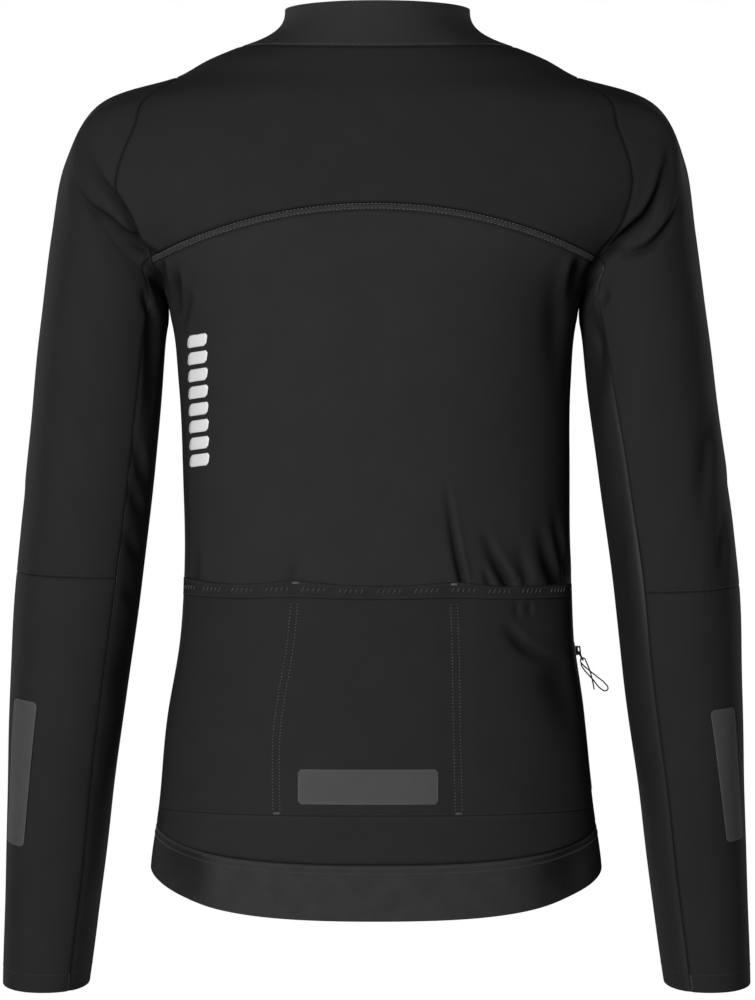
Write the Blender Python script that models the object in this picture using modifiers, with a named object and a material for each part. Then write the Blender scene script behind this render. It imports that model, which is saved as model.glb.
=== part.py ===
"""A women's cycling softshell jacket, standing open as if it were worn, with nobody in it.

The wearer looks along +Y, +X is the wearer's right and +Z is up.  The origin lies between the
shoulders, at the height where the collar meets them, because that is where a wearer carries it.

Every panel is a wall of cloth.  Its points are worked out on one of three smooth forms: the torso,
a sleeve or the collar.  Panels that meet at a seam share the seam's points, so that their rims run
side by side with a hair's breadth between them.  What is sewn or pressed onto a panel is made from
that panel's own points, moved out.
"""

import math
from collections import namedtuple

import bmesh
import bpy
from mathutils import Matrix, Vector

# ---------------------------------------------------------------- driving dimensions, in metres

SHELL = 0.0015  # softshell cloth with its brushed back
POCKET_CLOTH = 0.0010
ELASTIC = 0.0012
FILM = 0.0004  # reflective film pressed onto the cloth
SEAM_GAP = 0.0004  # between two panels at a seam, and between two layers
LEAST_SLANT = 0.35  # a seam folded sharper than this isn't drawn in any further

NECK_LEVEL = 0.0015  # where the collar is sewn on, at the sides of the neck
ARMPIT_LEVEL = -0.184
WAIST_LEVEL = -0.340
HEM_SEAM_LEVEL = -0.585  # top of the elastic band, at the sides
HEM_LEVEL = -0.6225
HEM_SEAM_TILT = 0.146  # how much lower the back runs than the front, for each metre of depth
HEM_TILT = 0.169
YOKE_CENTRE_LEVEL = -0.122
YOKE_ARCH = 2.0  # the yoke seam falls away from the spine as this power of the distance
ARCH_ROUNDS = 6  # of finding the level and the distance from each other

POCKET_TOP = -0.397
BINDING_BOTTOM = -0.409
POCKET_BOTTOM = -0.5665
BACK_STRIP = {"left": -0.0575, "right": 0.0440, "top": -0.533, "bottom": -0.558}

SIDE_SEAM_TURN = math.radians(76)  # from the spine, below the chest
SHOULDER_SEAM_TURN = math.radians(96)  # where the shoulder seam meets the neck, just in front
FRONT_NECK_DROP = 0.072
FRONT_DROP_STARTS = -0.240
BACK_NECK_DIP = 0.007
BACK_DIP_STARTS = -0.050

# Torso sections from the hem up.  square is the power of the superellipse: 2 is an ellipse.
TorsoSection = namedtuple("TorsoSection", "level half_width back front square")
TORSO = [
    TorsoSection(-0.660, 0.1710, 0.117, 0.112, 2.25),
    TorsoSection(-0.607, 0.1684, 0.112, 0.110, 2.25),
    TorsoSection(-0.570, 0.1635, 0.108, 0.108, 2.25),
    TorsoSection(-0.495, 0.1556, 0.099, 0.101, 2.25),
    TorsoSection(-0.439, 0.1472, 0.092, 0.097, 2.25),
    TorsoSection(-0.382, 0.1448, 0.091, 0.096, 2.25),
    TorsoSection(-0.307, 0.1448, 0.099, 0.101, 2.25),
    TorsoSection(-0.251, 0.1466, 0.107, 0.109, 2.30),
    TorsoSection(-0.205, 0.1515, 0.112, 0.114, 2.35),
    TorsoSection(-0.184, 0.1575, 0.113, 0.115, 2.40),
    TorsoSection(-0.160, 0.1800, 0.112, 0.114, 2.45),
    TorsoSection(-0.130, 0.2160, 0.109, 0.112, 2.45),
    TorsoSection(-0.101, 0.2330, 0.105, 0.108, 2.40),
    TorsoSection(-0.064, 0.2260, 0.098, 0.102, 2.25),
    TorsoSection(-0.042, 0.2090, 0.092, 0.097, 2.10),
    TorsoSection(-0.021, 0.1500, 0.084, 0.091, 2.00),
    TorsoSection(-0.0075, 0.1250, 0.079, 0.087, 2.00),
    TorsoSection(0.0015, 0.1030, 0.075, 0.084, 2.00),
]

# The armhole is an oval on the torso's side, and squarer than an ellipse.
ARMHOLE_TOP = -0.021
ARMHOLE_BACK = 0.071
ARMHOLE_FRONT = 0.075
ARMHOLE_SQUARE = 2.5
UNDERARM = math.radians(130)  # at the armhole, the underarm panel starts this far round from the ridge

# Where the underarm panel's back seam runs further down, in degrees round the sleeve.
UnderarmSeam = namedtuple("UnderarmSeam", "station left right")
UNDERARM_SEAM = [
    UnderarmSeam(0.0, 130, 130),
    UnderarmSeam(1.0, 130, 130),
    UnderarmSeam(2.8, 135, 136),
    UnderarmSeam(4.5, 132, 131),
    UnderarmSeam(6.0, 130, 125),
    UnderarmSeam(8.0, 126, 121),
    UnderarmSeam(9.5, 126, 117),
    UnderarmSeam(11.0, 124, 114),
]

# Sleeve sections of the right arm from the armhole to the cuff: where the sleeve's outer and inner
# edges lie, how far forward its middle is, and half its depth.
SleeveSection = namedtuple("SleeveSection", "station outer_x outer_z inner_x inner_z forward depth")
SLEEVE = [
    SleeveSection(0, 0.1500, -0.0210, 0.1575, -0.184, 0.000, 0.071),
    SleeveSection(1, 0.2080, -0.0410, 0.1630, -0.1865, 0.000, 0.060),
    SleeveSection(2, 0.2320, -0.0850, 0.1645, -0.1920, 0.000, 0.058),
    SleeveSection(3, 0.2410, -0.1390, 0.1625, -0.2010, -0.001, 0.057),
    SleeveSection(4, 0.2480, -0.1950, 0.1590, -0.2170, -0.003, 0.056),
    SleeveSection(5, 0.2545, -0.2510, 0.1605, -0.262, -0.006, 0.054),
    SleeveSection(6, 0.2615, -0.3150, 0.1665, -0.321, -0.008, 0.052),
    SleeveSection(7, 0.2700, -0.3940, 0.1760, -0.397, -0.006, 0.050),
    SleeveSection(8, 0.2745, -0.4700, 0.1855, -0.472, 0.003, 0.047),
    SleeveSection(9, 0.2775, -0.5510, 0.1975, -0.552, 0.016, 0.043),
    SleeveSection(10, 0.2805, -0.6260, 0.2070, -0.627, 0.029, 0.038),
    SleeveSection(11, 0.2840, -0.7030, 0.2180, -0.703, 0.041, 0.034),
]
SLEEVE_SQUARE = 2.2
ELBOW_STATION = {"left": 6.95, "right": 7.08}
CUFF_STATION = 11
CAP_ENDS = 3.0  # the station where the sleeve has lost the armhole's shape

RIM_HALF_WIDTH = 0.0695
RIM_BACK = 0.061
RIM_FRONT = 0.074
RIM_LEVEL = 0.0300
RIM_FRONT_DROP = 0.050
COLLAR_FLARE_BACK = 1.3  # power of the collar's outward sweep towards its foot
COLLAR_FLARE_SIDE = 2.8

# Strips of film on the forearms: the turns round the sleeve of a strip's two edges at each end.
StripEnd = namedtuple("StripEnd", "side station outer_turn inner_turn")
SLEEVE_STRIPS = [
    StripEnd("left", 8.13, 34, 66),
    StripEnd("left", 9.52, 23, 57),
    StripEnd("right", 8.20, 41.5, 71),
    StripEnd("right", 9.47, 30, 59),
]

# The front zip.  Widths are measured from the middle of the zip.
FRONT_EDGE = 0.0055
TAPE_IN = 0.0027
TAPE_OUT = 0.0140
TAPE_THICK = 0.0008
TAPE_BELOW = 0.0006  # between the front's inside and the tape
CHAIN_HALF = 0.0023
CHAIN_THICK = 0.0026
CHAIN_TOP = 0.86  # as a share of the collar's height; the slider sits over the chain's end

# The zip of the side pocket lies on the right front, in front of the side seam.  Widths are counted
# in columns of the front's grid.
SIDE_ZIP_COLUMN = 2
SIDE_TAPE_HALF = 0.21
SIDE_CHAIN_HALF = 0.055
SIDE_ZIP_TOP = -0.445
SIDE_ZIP_BOTTOM = -0.556
SIDE_CHAIN_THICK = 0.0014
SIDE_SLIDER_LEVEL = -0.4515

# A slider, in millimetres from the middle of the chain's outside: out is away from the cloth.
Slider = namedtuple("Slider", "half_width bottom top plate_in plate_out bridge_out bridge_half low_post high_post")
FRONT_SLIDER = Slider(4.0, -7.0, 3.5, 0.4, 1.6, 4.2, 0.7, -5.5, 0.3)
SIDE_SLIDER = Slider(3.0, -3.5, 3.5, 0.4, 1.4, 3.9, 0.6, -3.3, 2.0)
POST = 1.2  # a bridge's post along the zip
BRIDGE_BAR = 1.0

# A tab, in millimetres from its hinge: how far down each of its bars starts and ends.
Bar = namedtuple("Bar", "start end")
FRONT_TAB = {"half_width": 2.5, "bars": [Bar(-0.5, 0.5), Bar(3.6, 18.5)], "window": 1.1}
SIDE_TAB = {"half_width": 2.1, "bars": [Bar(-0.5, 0.5), Bar(3.3, 4.2), Bar(6.5, 7.4)], "window": 1.1}
TAB_THICK = 1.0
SIDE_TAB_LIFT = math.radians(20)  # the cord holds the side tab off the cloth

# The pull cord, in millimetres from the side slider: across to the back, out, and up.
CORD_DIAMETER = 0.0010
CORD_POINTS = 78
CordPoint = namedtuple("CordPoint", "across out up")
CORD = [
    CordPoint(0.8, 10.4, -30.8),
    CordPoint(1.3, 9.6, -22.0),
    CordPoint(1.1, 8.2, -14.0),
    CordPoint(0.5, 7.0, -9.8),
    CordPoint(0.1, 6.29, -7.25),
    CordPoint(0.0, 5.30, -6.18),
    CordPoint(0.0, 3.85, -6.11),
    CordPoint(0.0, 2.78, -7.10),
    CordPoint(-0.1, 2.71, -8.55),
    CordPoint(-0.5, 4.2, -11.2),
    CordPoint(-1.3, 8.0, -15.4),
    CordPoint(-2.6, 14.0, -21.4),
    CordPoint(-4.4, 20.6, -28.4),
    CordPoint(-5.2, 22.15, -31.66),
    CordPoint(-5.8, 21.4, -33.0),
    CordPoint(-6.2, 19.93, -33.42),
    CordPoint(-6.0, 18.0, -32.4),
    CordPoint(-4.4, 10.8, -23.0),
    CordPoint(-2.8, 5.4, -15.6),
    CordPoint(-2.0, 3.4, -11.6),
    CordPoint(-1.8, 3.2, -9.8),
]

# Rows of the grid that end on the armhole's flat bottom drop away from it before they cross the back.
Dip = namedtuple("Dip", "spine_level arch")
ARMPIT_DIPS = [
    Dip(-0.214, 8),
    Dip(-0.194, 6),
    Dip(-0.165, 4),
    Dip(YOKE_CENTRE_LEVEL, YOKE_ARCH),
]

# How many steps each grid takes.
BACK_COLUMNS = 18
FRONT_COLUMNS = 9
SHOULDER_STEPS = 3
UPPER_STEPS = 16  # round the armhole, above the underarm panel
UNDER_STEPS = 3  # on each side of the armpit
SHOULDER_SEAM_STEP = 8  # the step of UPPER_STEPS where the shoulder seam starts, on the ridge
COLLAR_ROWS = 3
STRIP_LIFT = 0.0004  # a strip on a forearm crosses the forearm's own facets, so it lies higher
STRIP_COLUMNS = 6
STRIP_ROWS = 8
SIDE_LEVELS = [-0.235, -0.285, WAIST_LEVEL, POCKET_TOP, BINDING_BOTTOM, -0.450, -0.491,
               BACK_STRIP["top"], BACK_STRIP["bottom"], POCKET_BOTTOM]
UPPER_STATIONS = {side: [0, 0.6, 1.2, 1.8, 2.5, 3.4, 4.4, 5.6, elbow] for side, elbow in ELBOW_STATION.items()}
FORE_STATIONS = {side: [elbow, 7.8, 8.6, 9.4, 10.2, CUFF_STATION] for side, elbow in ELBOW_STATION.items()}

# The jacket sits a little askew: how far each level is shifted towards the wearer's right.
Sway = namedtuple("Sway", "level shift")
SWAY = [
    Sway(-0.720, -0.0005),
    Sway(-0.600, -0.0010),
    Sway(-0.480, -0.0010),
    Sway(-0.400, 0.0002),
    Sway(-0.320, -0.0008),
    Sway(-0.230, -0.0024),
    Sway(-0.110, -0.0024),
    Sway(-0.030, -0.0003),
    Sway(0.040, 0.0000),
]


# ---------------------------------------------------------------- small helpers

def smoothstep(low, high, value):
    """0 below low, 1 above high, and a smooth rise between."""
    share = min(1.0, max(0.0, (value - low) / (high - low)))
    return share * share * (3 - 2 * share)


def power(value, exponent):
    """value to that power with its sign kept, for superellipses."""
    return math.copysign(abs(value) ** exponent, value)


def between(rows, at):
    """The table's row at a value of its first column, on a smooth curve through the rows."""
    k = max(1, min(len(rows) - 1, sum(row[0] < at for row in rows)))
    low, high = rows[k - 1], rows[k]
    before, after = rows[max(k - 2, 0)], rows[min(k + 1, len(rows) - 1)]
    step = high[0] - low[0]
    share = (at - low[0]) / step
    values = [at]
    for column in range(1, len(low)):
        rise = (high[column] - low[column]) / step
        slope_low = slope_through(before, low, high, column) if before is not low else rise
        slope_high = slope_through(low, high, after, column) if after is not high else rise
        values.append(hermite(low[column], high[column], slope_low * step, slope_high * step, share))
    return type(low)(*values)


def slope_through(a, b, c, column):
    """The curve's slope at row b, weighted towards the nearer of its neighbours."""
    left, right = b[0] - a[0], c[0] - b[0]
    rise_left = (b[column] - a[column]) / left
    rise_right = (c[column] - b[column]) / right
    return (rise_left * right + rise_right * left) / (left + right)


def hermite(start, end, slope_start, slope_end, share):
    two, three = share * share, share * share * share
    return (start * (2 * three - 3 * two + 1) + slope_start * (three - 2 * two + share)
            + end * (3 * two - 2 * three) + slope_end * (three - two))


def evenly(curve, start, end, steps):
    """Values from start to end that cut the curve into stretches of equal length."""
    fine = 40 * steps
    values = [start + (end - start) * k / fine for k in range(fine + 1)]
    points = [curve(value) for value in values]
    along = [0.0]
    for a, b in zip(points, points[1:]):
        along.append(along[-1] + (b - a).length)
    found = []
    for k in range(steps + 1):
        target = along[-1] * k / steps
        at = max(1, sum(length < target for length in along))
        at = min(at, fine)
        share = (target - along[at - 1]) / (along[at] - along[at - 1])
        found.append(values[at - 1] + (values[at] - values[at - 1]) * share)
    found[0], found[-1] = start, end
    return found


def mirrored(grid):
    """The same grid on the other side of the body, with its outside still outside."""
    return [[Vector((-p.x, p.y, p.z)) for p in reversed(row)] for row in grid]


def swayed(grid):
    return [[p + Vector((between(SWAY, p.z).shift, 0, 0)) for p in row] for row in grid]


# ---------------------------------------------------------------- the three forms

def torso_point(turn, level):
    """A point of the torso: turn is 0 at the spine, a quarter turn at the wearer's right side."""
    section = between(TORSO, level)
    across, back = math.sin(turn), math.cos(turn)
    depth = section.back if back > 0 else section.front
    x = section.half_width * power(across, 2 / section.square)
    y = -depth * power(back, 2 / section.square)
    z = level
    if back < 0:
        z -= FRONT_NECK_DROP * smoothstep(FRONT_DROP_STARTS, NECK_LEVEL, level) * back * back
    else:
        z -= BACK_NECK_DIP * smoothstep(BACK_DIP_STARTS, NECK_LEVEL, level) * back * back
    return Vector((x, y, z))


def front_turn(x, level):
    """The turn near the middle of the front at which the torso is x from that middle."""
    section = between(TORSO, level)
    return math.pi - math.asin((x / section.half_width) ** (section.square / 2))


def back_turn(x, level):
    """The turn on the back at which the torso is x from the spine."""
    section = between(TORSO, level)
    return math.copysign(math.asin((abs(x) / section.half_width) ** (section.square / 2)), x)


def side_seam_turn(level):
    """The side seam leaves the armpit at the very side and swings towards the back."""
    share = smoothstep(-0.300, ARMPIT_LEVEL, level)
    return SIDE_SEAM_TURN + (math.pi / 2 - SIDE_SEAM_TURN) * share


def tilted_level(turn, level, tilt):
    """The level of a hem that runs level at the sides, lower behind and higher in front."""
    return level + tilt * torso_point(turn, level).y


def armhole_place(angle):
    """(turn, level) on the right armhole.  0 is the shoulder ridge, a quarter turn the back."""
    middle, half = (ARMHOLE_TOP + ARMPIT_LEVEL) / 2, (ARMHOLE_TOP - ARMPIT_LEVEL) / 2
    level = middle + half * power(math.cos(angle), 2 / ARMHOLE_SQUARE)
    section = between(TORSO, level)
    backward = power(math.sin(angle), 2 / ARMHOLE_SQUARE)
    if backward >= 0:
        share = backward * ARMHOLE_BACK / section.back
        return math.acos(share ** (section.square / 2)), level
    share = -backward * ARMHOLE_FRONT / section.front
    return math.pi - math.acos(share ** (section.square / 2)), level


def armhole_point(angle):
    return torso_point(*armhole_place(angle))


def sleeve_ring(angle, station, square):
    """A point of the plain sleeve tube.  Angle 0 is its outer edge and a quarter turn its back."""
    section = between(SLEEVE, station)
    ahead = between(SLEEVE, min(station + 0.25, CUFF_STATION))
    behind = between(SLEEVE, max(station - 0.25, 0))
    fall = (behind.outer_z + behind.inner_z - ahead.outer_z - ahead.inner_z) / 2
    lean = (ahead.forward - behind.forward) / max(fall, 0.001)
    outer = Vector((section.outer_x, section.forward, section.outer_z))
    inner = Vector((section.inner_x, section.forward, section.inner_z))
    across = (outer - inner) / 2 * power(math.cos(angle), 2 / square)
    backward = section.depth * power(math.sin(angle), 2 / square)
    return (outer + inner) / 2 + across + Vector((0, -backward, -backward * lean))


def sleeve_point(angle, station):
    """A point of the right sleeve: the armhole's own shape at its top, a plain tube further down."""
    share = 1 - smoothstep(0, CAP_ENDS, station)
    square = SLEEVE_SQUARE + (ARMHOLE_SQUARE - SLEEVE_SQUARE) * share
    point = sleeve_ring(angle, station, square)
    if share > 0:
        point += share * (armhole_point(angle) - sleeve_ring(angle, 0, ARMHOLE_SQUARE))
    return point


def underarm_turn(station, side):
    """How far round the sleeve its back seam runs at a station."""
    return math.radians(getattr(between(UNDERARM_SEAM, station), side))


def collar_point(turn, height):
    """A point of the collar: height 0 is the neck seam and 1 the rim."""
    foot = torso_point(turn, NECK_LEVEL)
    across, back = math.sin(turn), math.cos(turn)
    depth = RIM_BACK if back > 0 else RIM_FRONT
    drop = RIM_FRONT_DROP * max(0.0, -back) ** 2
    rim = Vector((RIM_HALF_WIDTH * across, -depth * back, RIM_LEVEL - drop))
    flare = COLLAR_FLARE_BACK + (COLLAR_FLARE_SIDE - COLLAR_FLARE_BACK) * across * across
    inward = 1 - (1 - height) ** flare
    return Vector((foot.x + (rim.x - foot.x) * inward, foot.y + (rim.y - foot.y) * inward,
                   foot.z + (rim.z - foot.z) * height))


def collar_front_turn(x, height):
    """The turn near the middle of the front at which the collar is x from that middle."""
    foot = TORSO[-1].half_width
    inward = 1 - (1 - height) ** COLLAR_FLARE_BACK
    return math.pi - math.asin(x / (foot + (RIM_HALF_WIDTH - foot) * inward))


# ---------------------------------------------------------------- walls of cloth

def key(point):
    return tuple(round(value * 1e6) for value in point)


def normals_of(grids):
    """One outward normal for each point: the mean over the panels that have that point."""
    means = {}
    for grid in grids:
        sums = {}
        for low, high in zip(grid, grid[1:]):
            for i in range(len(low) - 1):
                face = (low[i + 1] - high[i]).cross(high[i + 1] - low[i])
                for corner in (low[i], low[i + 1], high[i], high[i + 1]):
                    sums[key(corner)] = sums.get(key(corner), Vector()) + face
        for place, total in sums.items():
            means[place] = means.get(place, Vector()) + total.normalized()
    return {place: total.normalized() for place, total in means.items()}


def drawn_in(grid, normals, distance):
    """The grid with its four edges drawn in along the cloth, which leaves the seam's gap.

    Where two panels meet at an angle they are drawn in further, so that the gap stays the same.
    """
    last, end = len(grid) - 1, len(grid[0]) - 1
    inner = [[point.copy() for point in row] for row in grid]

    def draw(here, inward, before, after):
        point = grid[here[0]][here[1]]
        seam = (grid[after[0]][after[1]] - grid[before[0]][before[1]]).normalized()
        along = grid[inward[0]][inward[1]] - point
        along = (along - seam * along.dot(seam)).normalized()
        normal = normals[key(point)]
        slant = (along - normal * along.dot(normal)).length
        inner[here[0]][here[1]] += along * distance / max(slant, LEAST_SLANT)

    for i in range(end + 1):
        before, after = max(i - 1, 0), min(i + 1, end)
        draw((0, i), (1, i), (0, before), (0, after))
        draw((last, i), (last - 1, i), (last, before), (last, after))
    for j in range(last + 1):
        before, after = max(j - 1, 0), min(j + 1, last)
        draw((j, 0), (j, 1), (before, 0), (after, 0))
        draw((j, end), (j, end - 1), (before, end), (after, end))
    return inner


def wall(name, grid, normals, thick, material, out=0.0, inset=SEAM_GAP / 2):
    """A closed wall of cloth.  Its outside is the grid moved out by out, its inside lies thick below."""
    across, rows = len(grid[0]), len(grid)
    edged = drawn_in(grid, normals, inset)
    outside, inside = [], []
    for j in range(rows):
        for i in range(across):
            normal = normals[key(grid[j][i])]
            outside.append(edged[j][i] + normal * out)
            inside.append(edged[j][i] + normal * (out - thick))
    count = rows * across
    faces = []
    for j in range(rows - 1):
        for i in range(across - 1):
            a, b = j * across + i, j * across + i + 1
            c, d = b + across, a + across
            faces += [(a, b, c), (a, c, d)]
            faces += [(count + c, count + b, count + a), (count + d, count + c, count + a)]
    rim = list(range(across))
    rim += [j * across + across - 1 for j in range(1, rows)]
    rim += [(rows - 1) * across + i for i in range(across - 2, -1, -1)]
    rim += [j * across for j in range(rows - 2, 0, -1)]
    for a, b in zip(rim, rim[1:] + rim[:1]):
        # Both panels at a seam split a twisted rim face along the same diagonal.
        if key(grid[a // across][a % across]) < key(grid[b // across][b % across]):
            faces += [(b, a, count + a), (b, count + a, count + b)]
        else:
            faces += [(b, a, count + b), (a, count + a, count + b)]
    mesh = bpy.data.meshes.new(name)
    mesh.from_pydata(outside + inside, [], faces)
    mesh.shade_smooth()
    mesh.set_sharp_from_angle(angle=math.radians(40))
    return add_part(name, mesh, material)


def add_part(name, mesh, material):
    part = bpy.data.objects.new(name, mesh)
    part.data.materials.append(material)
    JACKET.objects.link(part)
    return part


def laid_patch(grid, normals, columns, rows):
    """A grid on top of another: columns and rows are places counted in that grid's own steps."""
    def at(j, i, table):
        j0, i0 = min(int(j), len(grid) - 2), min(int(i), len(grid[0]) - 2)
        v, u = j - j0, i - i0
        near, far = table(j0, i0), table(j0 + 1, i0 + 1)
        if u >= v:
            return near * (1 - u) + table(j0, i0 + 1) * (u - v) + far * v
        return near * (1 - v) + table(j0 + 1, i0) * (v - u) + far * u
    points = [[at(j, i, lambda a, b: grid[a][b]) for i in columns(j)] for j in rows]
    found = {}
    for row, j in zip(points, rows):
        for point, i in zip(row, columns(j)):
            found[key(point)] = at(j, i, lambda a, b: normals[key(grid[a][b])]).normalized()
    return points, found


def steps_between(low, high):
    """low, every whole step between, and high."""
    return [low] + [k for k in range(math.floor(low) + 1, math.ceil(high))] + [high]


def place_of(value, stops):
    """Where a value lies among a list's stops, counted in steps."""
    for k, (a, b) in enumerate(zip(stops, stops[1:])):
        if min(a, b) <= value <= max(a, b):
            return k + (value - a) / (b - a)
    raise ValueError("the value is outside the list")


# ---------------------------------------------------------------- materials

def finish(name, colour, roughness, metallic=0.0):
    material = bpy.data.materials.new(name)
    material.use_nodes = True
    shader = material.node_tree.nodes["Principled BSDF"]
    shader.inputs["Base Color"].default_value = (*colour, 1)
    shader.inputs["Roughness"].default_value = roughness
    shader.inputs["Metallic"].default_value = metallic
    return material


# ---------------------------------------------------------------- grids of the body panels

def body_row(end_turn, end_level, spine_level, arch=YOKE_ARCH):
    """A row of points over the back, from the left end over the spine to the right end.

    Seen from behind it is an arch: its level changes with the distance from the spine.
    """
    reach = torso_point(end_turn, end_level).x
    row = []
    for i in range(BACK_COLUMNS + 1):
        turn = end_turn * (2 * i / BACK_COLUMNS - 1)
        level = end_level
        if 0 < i < BACK_COLUMNS:
            for _ in range(ARCH_ROUNDS):
                share = min(1.0, abs(torso_point(turn, level).x) / reach)
                level = spine_level + (end_level - spine_level) * share ** arch
        row.append(torso_point(turn, level))
    return row


def shoulder_seam_places():
    """(turn, level) along the shoulder seam from the armhole to the neck."""
    turn, level = armhole_place(ARM_STEPS["upper"][SHOULDER_SEAM_STEP])
    places = []
    for k in range(SHOULDER_STEPS + 1):
        share = k / SHOULDER_STEPS
        places.append((turn + (SHOULDER_SEAM_TURN - turn) * share, level + (NECK_LEVEL - level) * share))
    return places


def yoke_grid():
    """The upper back: it reaches over the shoulders to a seam in front of their ridge."""
    ends = [armhole_place(angle) for angle in reversed(ARM_STEPS["upper"][SHOULDER_SEAM_STEP:])]
    ends += shoulder_seam_places()[1:]
    last, lowest = len(ends) - 1, ends[0][1]
    rows = []
    for k, (turn, level) in enumerate(ends):
        share = 0.25 * k / last + 0.75 * (level - lowest) / (NECK_LEVEL - lowest)
        rows.append(body_row(turn, level, YOKE_CENTRE_LEVEL + (NECK_LEVEL - YOKE_CENTRE_LEVEL) * share))
    return rows


def lower_back_grid():
    """The back from the hem band up to the yoke, rows from the bottom up."""
    hem = []
    for i in range(BACK_COLUMNS + 1):
        turn = SIDE_SEAM_TURN * (2 * i / BACK_COLUMNS - 1)
        hem.append(torso_point(turn, tilted_level(turn, HEM_SEAM_LEVEL, HEM_SEAM_TILT)))
    rows = [hem]
    for level in reversed(SIDE_LEVELS):
        rows.append(body_row(side_seam_turn(level), level, level))
    for angle, dip in zip(reversed(ARM_STEPS["under_back"]), ARMPIT_DIPS):
        turn, level = armhole_place(angle)
        rows.append(body_row(turn, level, dip.spine_level, dip.arch))
    return rows


def front_grid():
    """The right front from the side seam to the zip, rows from the hem band up to neck and shoulder."""
    def straight(side, zip_turn, level_of):
        row = []
        for i in range(FRONT_COLUMNS + 1):
            turn = side + (zip_turn - side) * i / FRONT_COLUMNS
            row.append(torso_point(turn, level_of(turn)))
        return row

    def hem_level(turn):
        return tilted_level(turn, HEM_SEAM_LEVEL, HEM_SEAM_TILT)

    rows = [straight(SIDE_SEAM_TURN, front_turn(FRONT_EDGE, HEM_SEAM_LEVEL), hem_level)]
    for level in reversed(SIDE_LEVELS):
        rows.append(straight(side_seam_turn(level), front_turn(FRONT_EDGE, level), lambda _, at=level: at))

    left = [armhole_place(angle) for angle in ARM_STEPS["under_front"]]
    left += [armhole_place(angle) for angle in ARM_STEPS["upper"][1:SHOULDER_SEAM_STEP + 1]]
    last = len(left) - 1
    right, bottom, top = [], [], shoulder_seam_places()
    for j in range(last + 1):
        level = ARMPIT_DIPS[0].spine_level + (NECK_LEVEL - ARMPIT_DIPS[0].spine_level) * j / last
        right.append((front_turn(FRONT_EDGE, level), level))
    dip = ARMPIT_DIPS[0]
    for i in range(FRONT_COLUMNS + 1):
        turn = left[0][0] + (right[0][0] - left[0][0]) * i / FRONT_COLUMNS
        drop = 1 - (1 - i / FRONT_COLUMNS) ** dip.arch
        bottom.append((turn, ARMPIT_LEVEL + (dip.spine_level - ARMPIT_LEVEL) * drop))
    neck_columns = FRONT_COLUMNS - SHOULDER_STEPS
    for i in range(1, neck_columns + 1):
        turn = SHOULDER_SEAM_TURN + (right[-1][0] - SHOULDER_SEAM_TURN) * i / neck_columns
        top.append((turn, NECK_LEVEL))
    for j in range(last + 1):
        row = []
        for i in range(FRONT_COLUMNS + 1):
            row.append(torso_point(*patch_place(left, right, bottom, top, i, j)))
        rows.append(row)
    return rows


def patch_place(left, right, bottom, top, i, j):
    """The (turn, level) that four edges give at column i of row j, blended as seen from the front."""
    edges = {0: left[j], len(bottom) - 1: right[j]}
    if i in edges or j in (0, len(left) - 1):
        return edges.get(i) or (bottom[i] if j == 0 else top[i])
    s, t = i / (len(bottom) - 1), j / (len(left) - 1)
    blend = []
    for k in (0, 1):
        across = seen(left[j])[k] * (1 - s) + seen(right[j])[k] * s
        upward = seen(bottom[i])[k] * (1 - t) + seen(top[i])[k] * t
        corners = ((seen(bottom[0])[k] * (1 - s) + seen(bottom[-1])[k] * s) * (1 - t)
                   + (seen(top[0])[k] * (1 - s) + seen(top[-1])[k] * s) * t)
        blend.append(across + upward - corners)
    section = between(TORSO, blend[1])
    share = min(1.0, blend[0] / section.half_width)
    return math.pi - math.asin(share ** (section.square / 2)), blend[1]


def seen(place):
    """The (x, level) of a (turn, level)."""
    section = between(TORSO, place[1])
    return section.half_width * math.sin(place[0]) ** (2 / section.square), place[1]


def hem_grid(front, lower_back):
    """The elastic band, from the zip round the back to the zip, rows from the hem up."""
    top = mirrored(front[:1])[0][:-1] + lower_back[0] + front[0][1:]
    front_turns = [SIDE_SEAM_TURN + (front_turn(FRONT_EDGE, HEM_SEAM_LEVEL) - SIDE_SEAM_TURN)
                   * i / FRONT_COLUMNS for i in range(FRONT_COLUMNS + 1)]
    back_turns = [SIDE_SEAM_TURN * (2 * i / BACK_COLUMNS - 1) for i in range(BACK_COLUMNS + 1)]
    turns = [-turn for turn in reversed(front_turns[1:])] + back_turns + front_turns[1:]
    bottom = [torso_point(turn, tilted_level(turn, HEM_LEVEL, HEM_TILT)) for turn in turns]
    middle = []
    for turn in turns:
        upper = tilted_level(turn, HEM_SEAM_LEVEL, HEM_SEAM_TILT)
        lower = tilted_level(turn, HEM_LEVEL, HEM_TILT)
        middle.append(torso_point(turn, (upper + lower) / 2))
    return [bottom, middle, top]


def neck_turns():
    """The turns of the neck seam's points, from the zip round the back to the zip."""
    zip_turn = front_turn(FRONT_EDGE, NECK_LEVEL)
    columns = FRONT_COLUMNS - SHOULDER_STEPS
    front = [SHOULDER_SEAM_TURN + (zip_turn - SHOULDER_SEAM_TURN) * i / columns for i in range(columns + 1)]
    back = [SHOULDER_SEAM_TURN * (2 * i / BACK_COLUMNS - 1) for i in range(BACK_COLUMNS + 1)]
    return [-turn for turn in reversed(front[1:])] + back + front[1:]


def collar_grid():
    rows = []
    for k in range(COLLAR_ROWS + 1):
        height = k / COLLAR_ROWS
        row = []
        for turn in neck_turns():
            if abs(turn) > SHOULDER_SEAM_TURN:
                share = (abs(turn) - SHOULDER_SEAM_TURN) / (neck_turns()[-1] - SHOULDER_SEAM_TURN)
                end = collar_front_turn(FRONT_EDGE, height)
                turn = math.copysign(SHOULDER_SEAM_TURN + (end - SHOULDER_SEAM_TURN) * share, turn)
            row.append(collar_point(turn, height))
        rows.append(row)
    return rows


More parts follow.
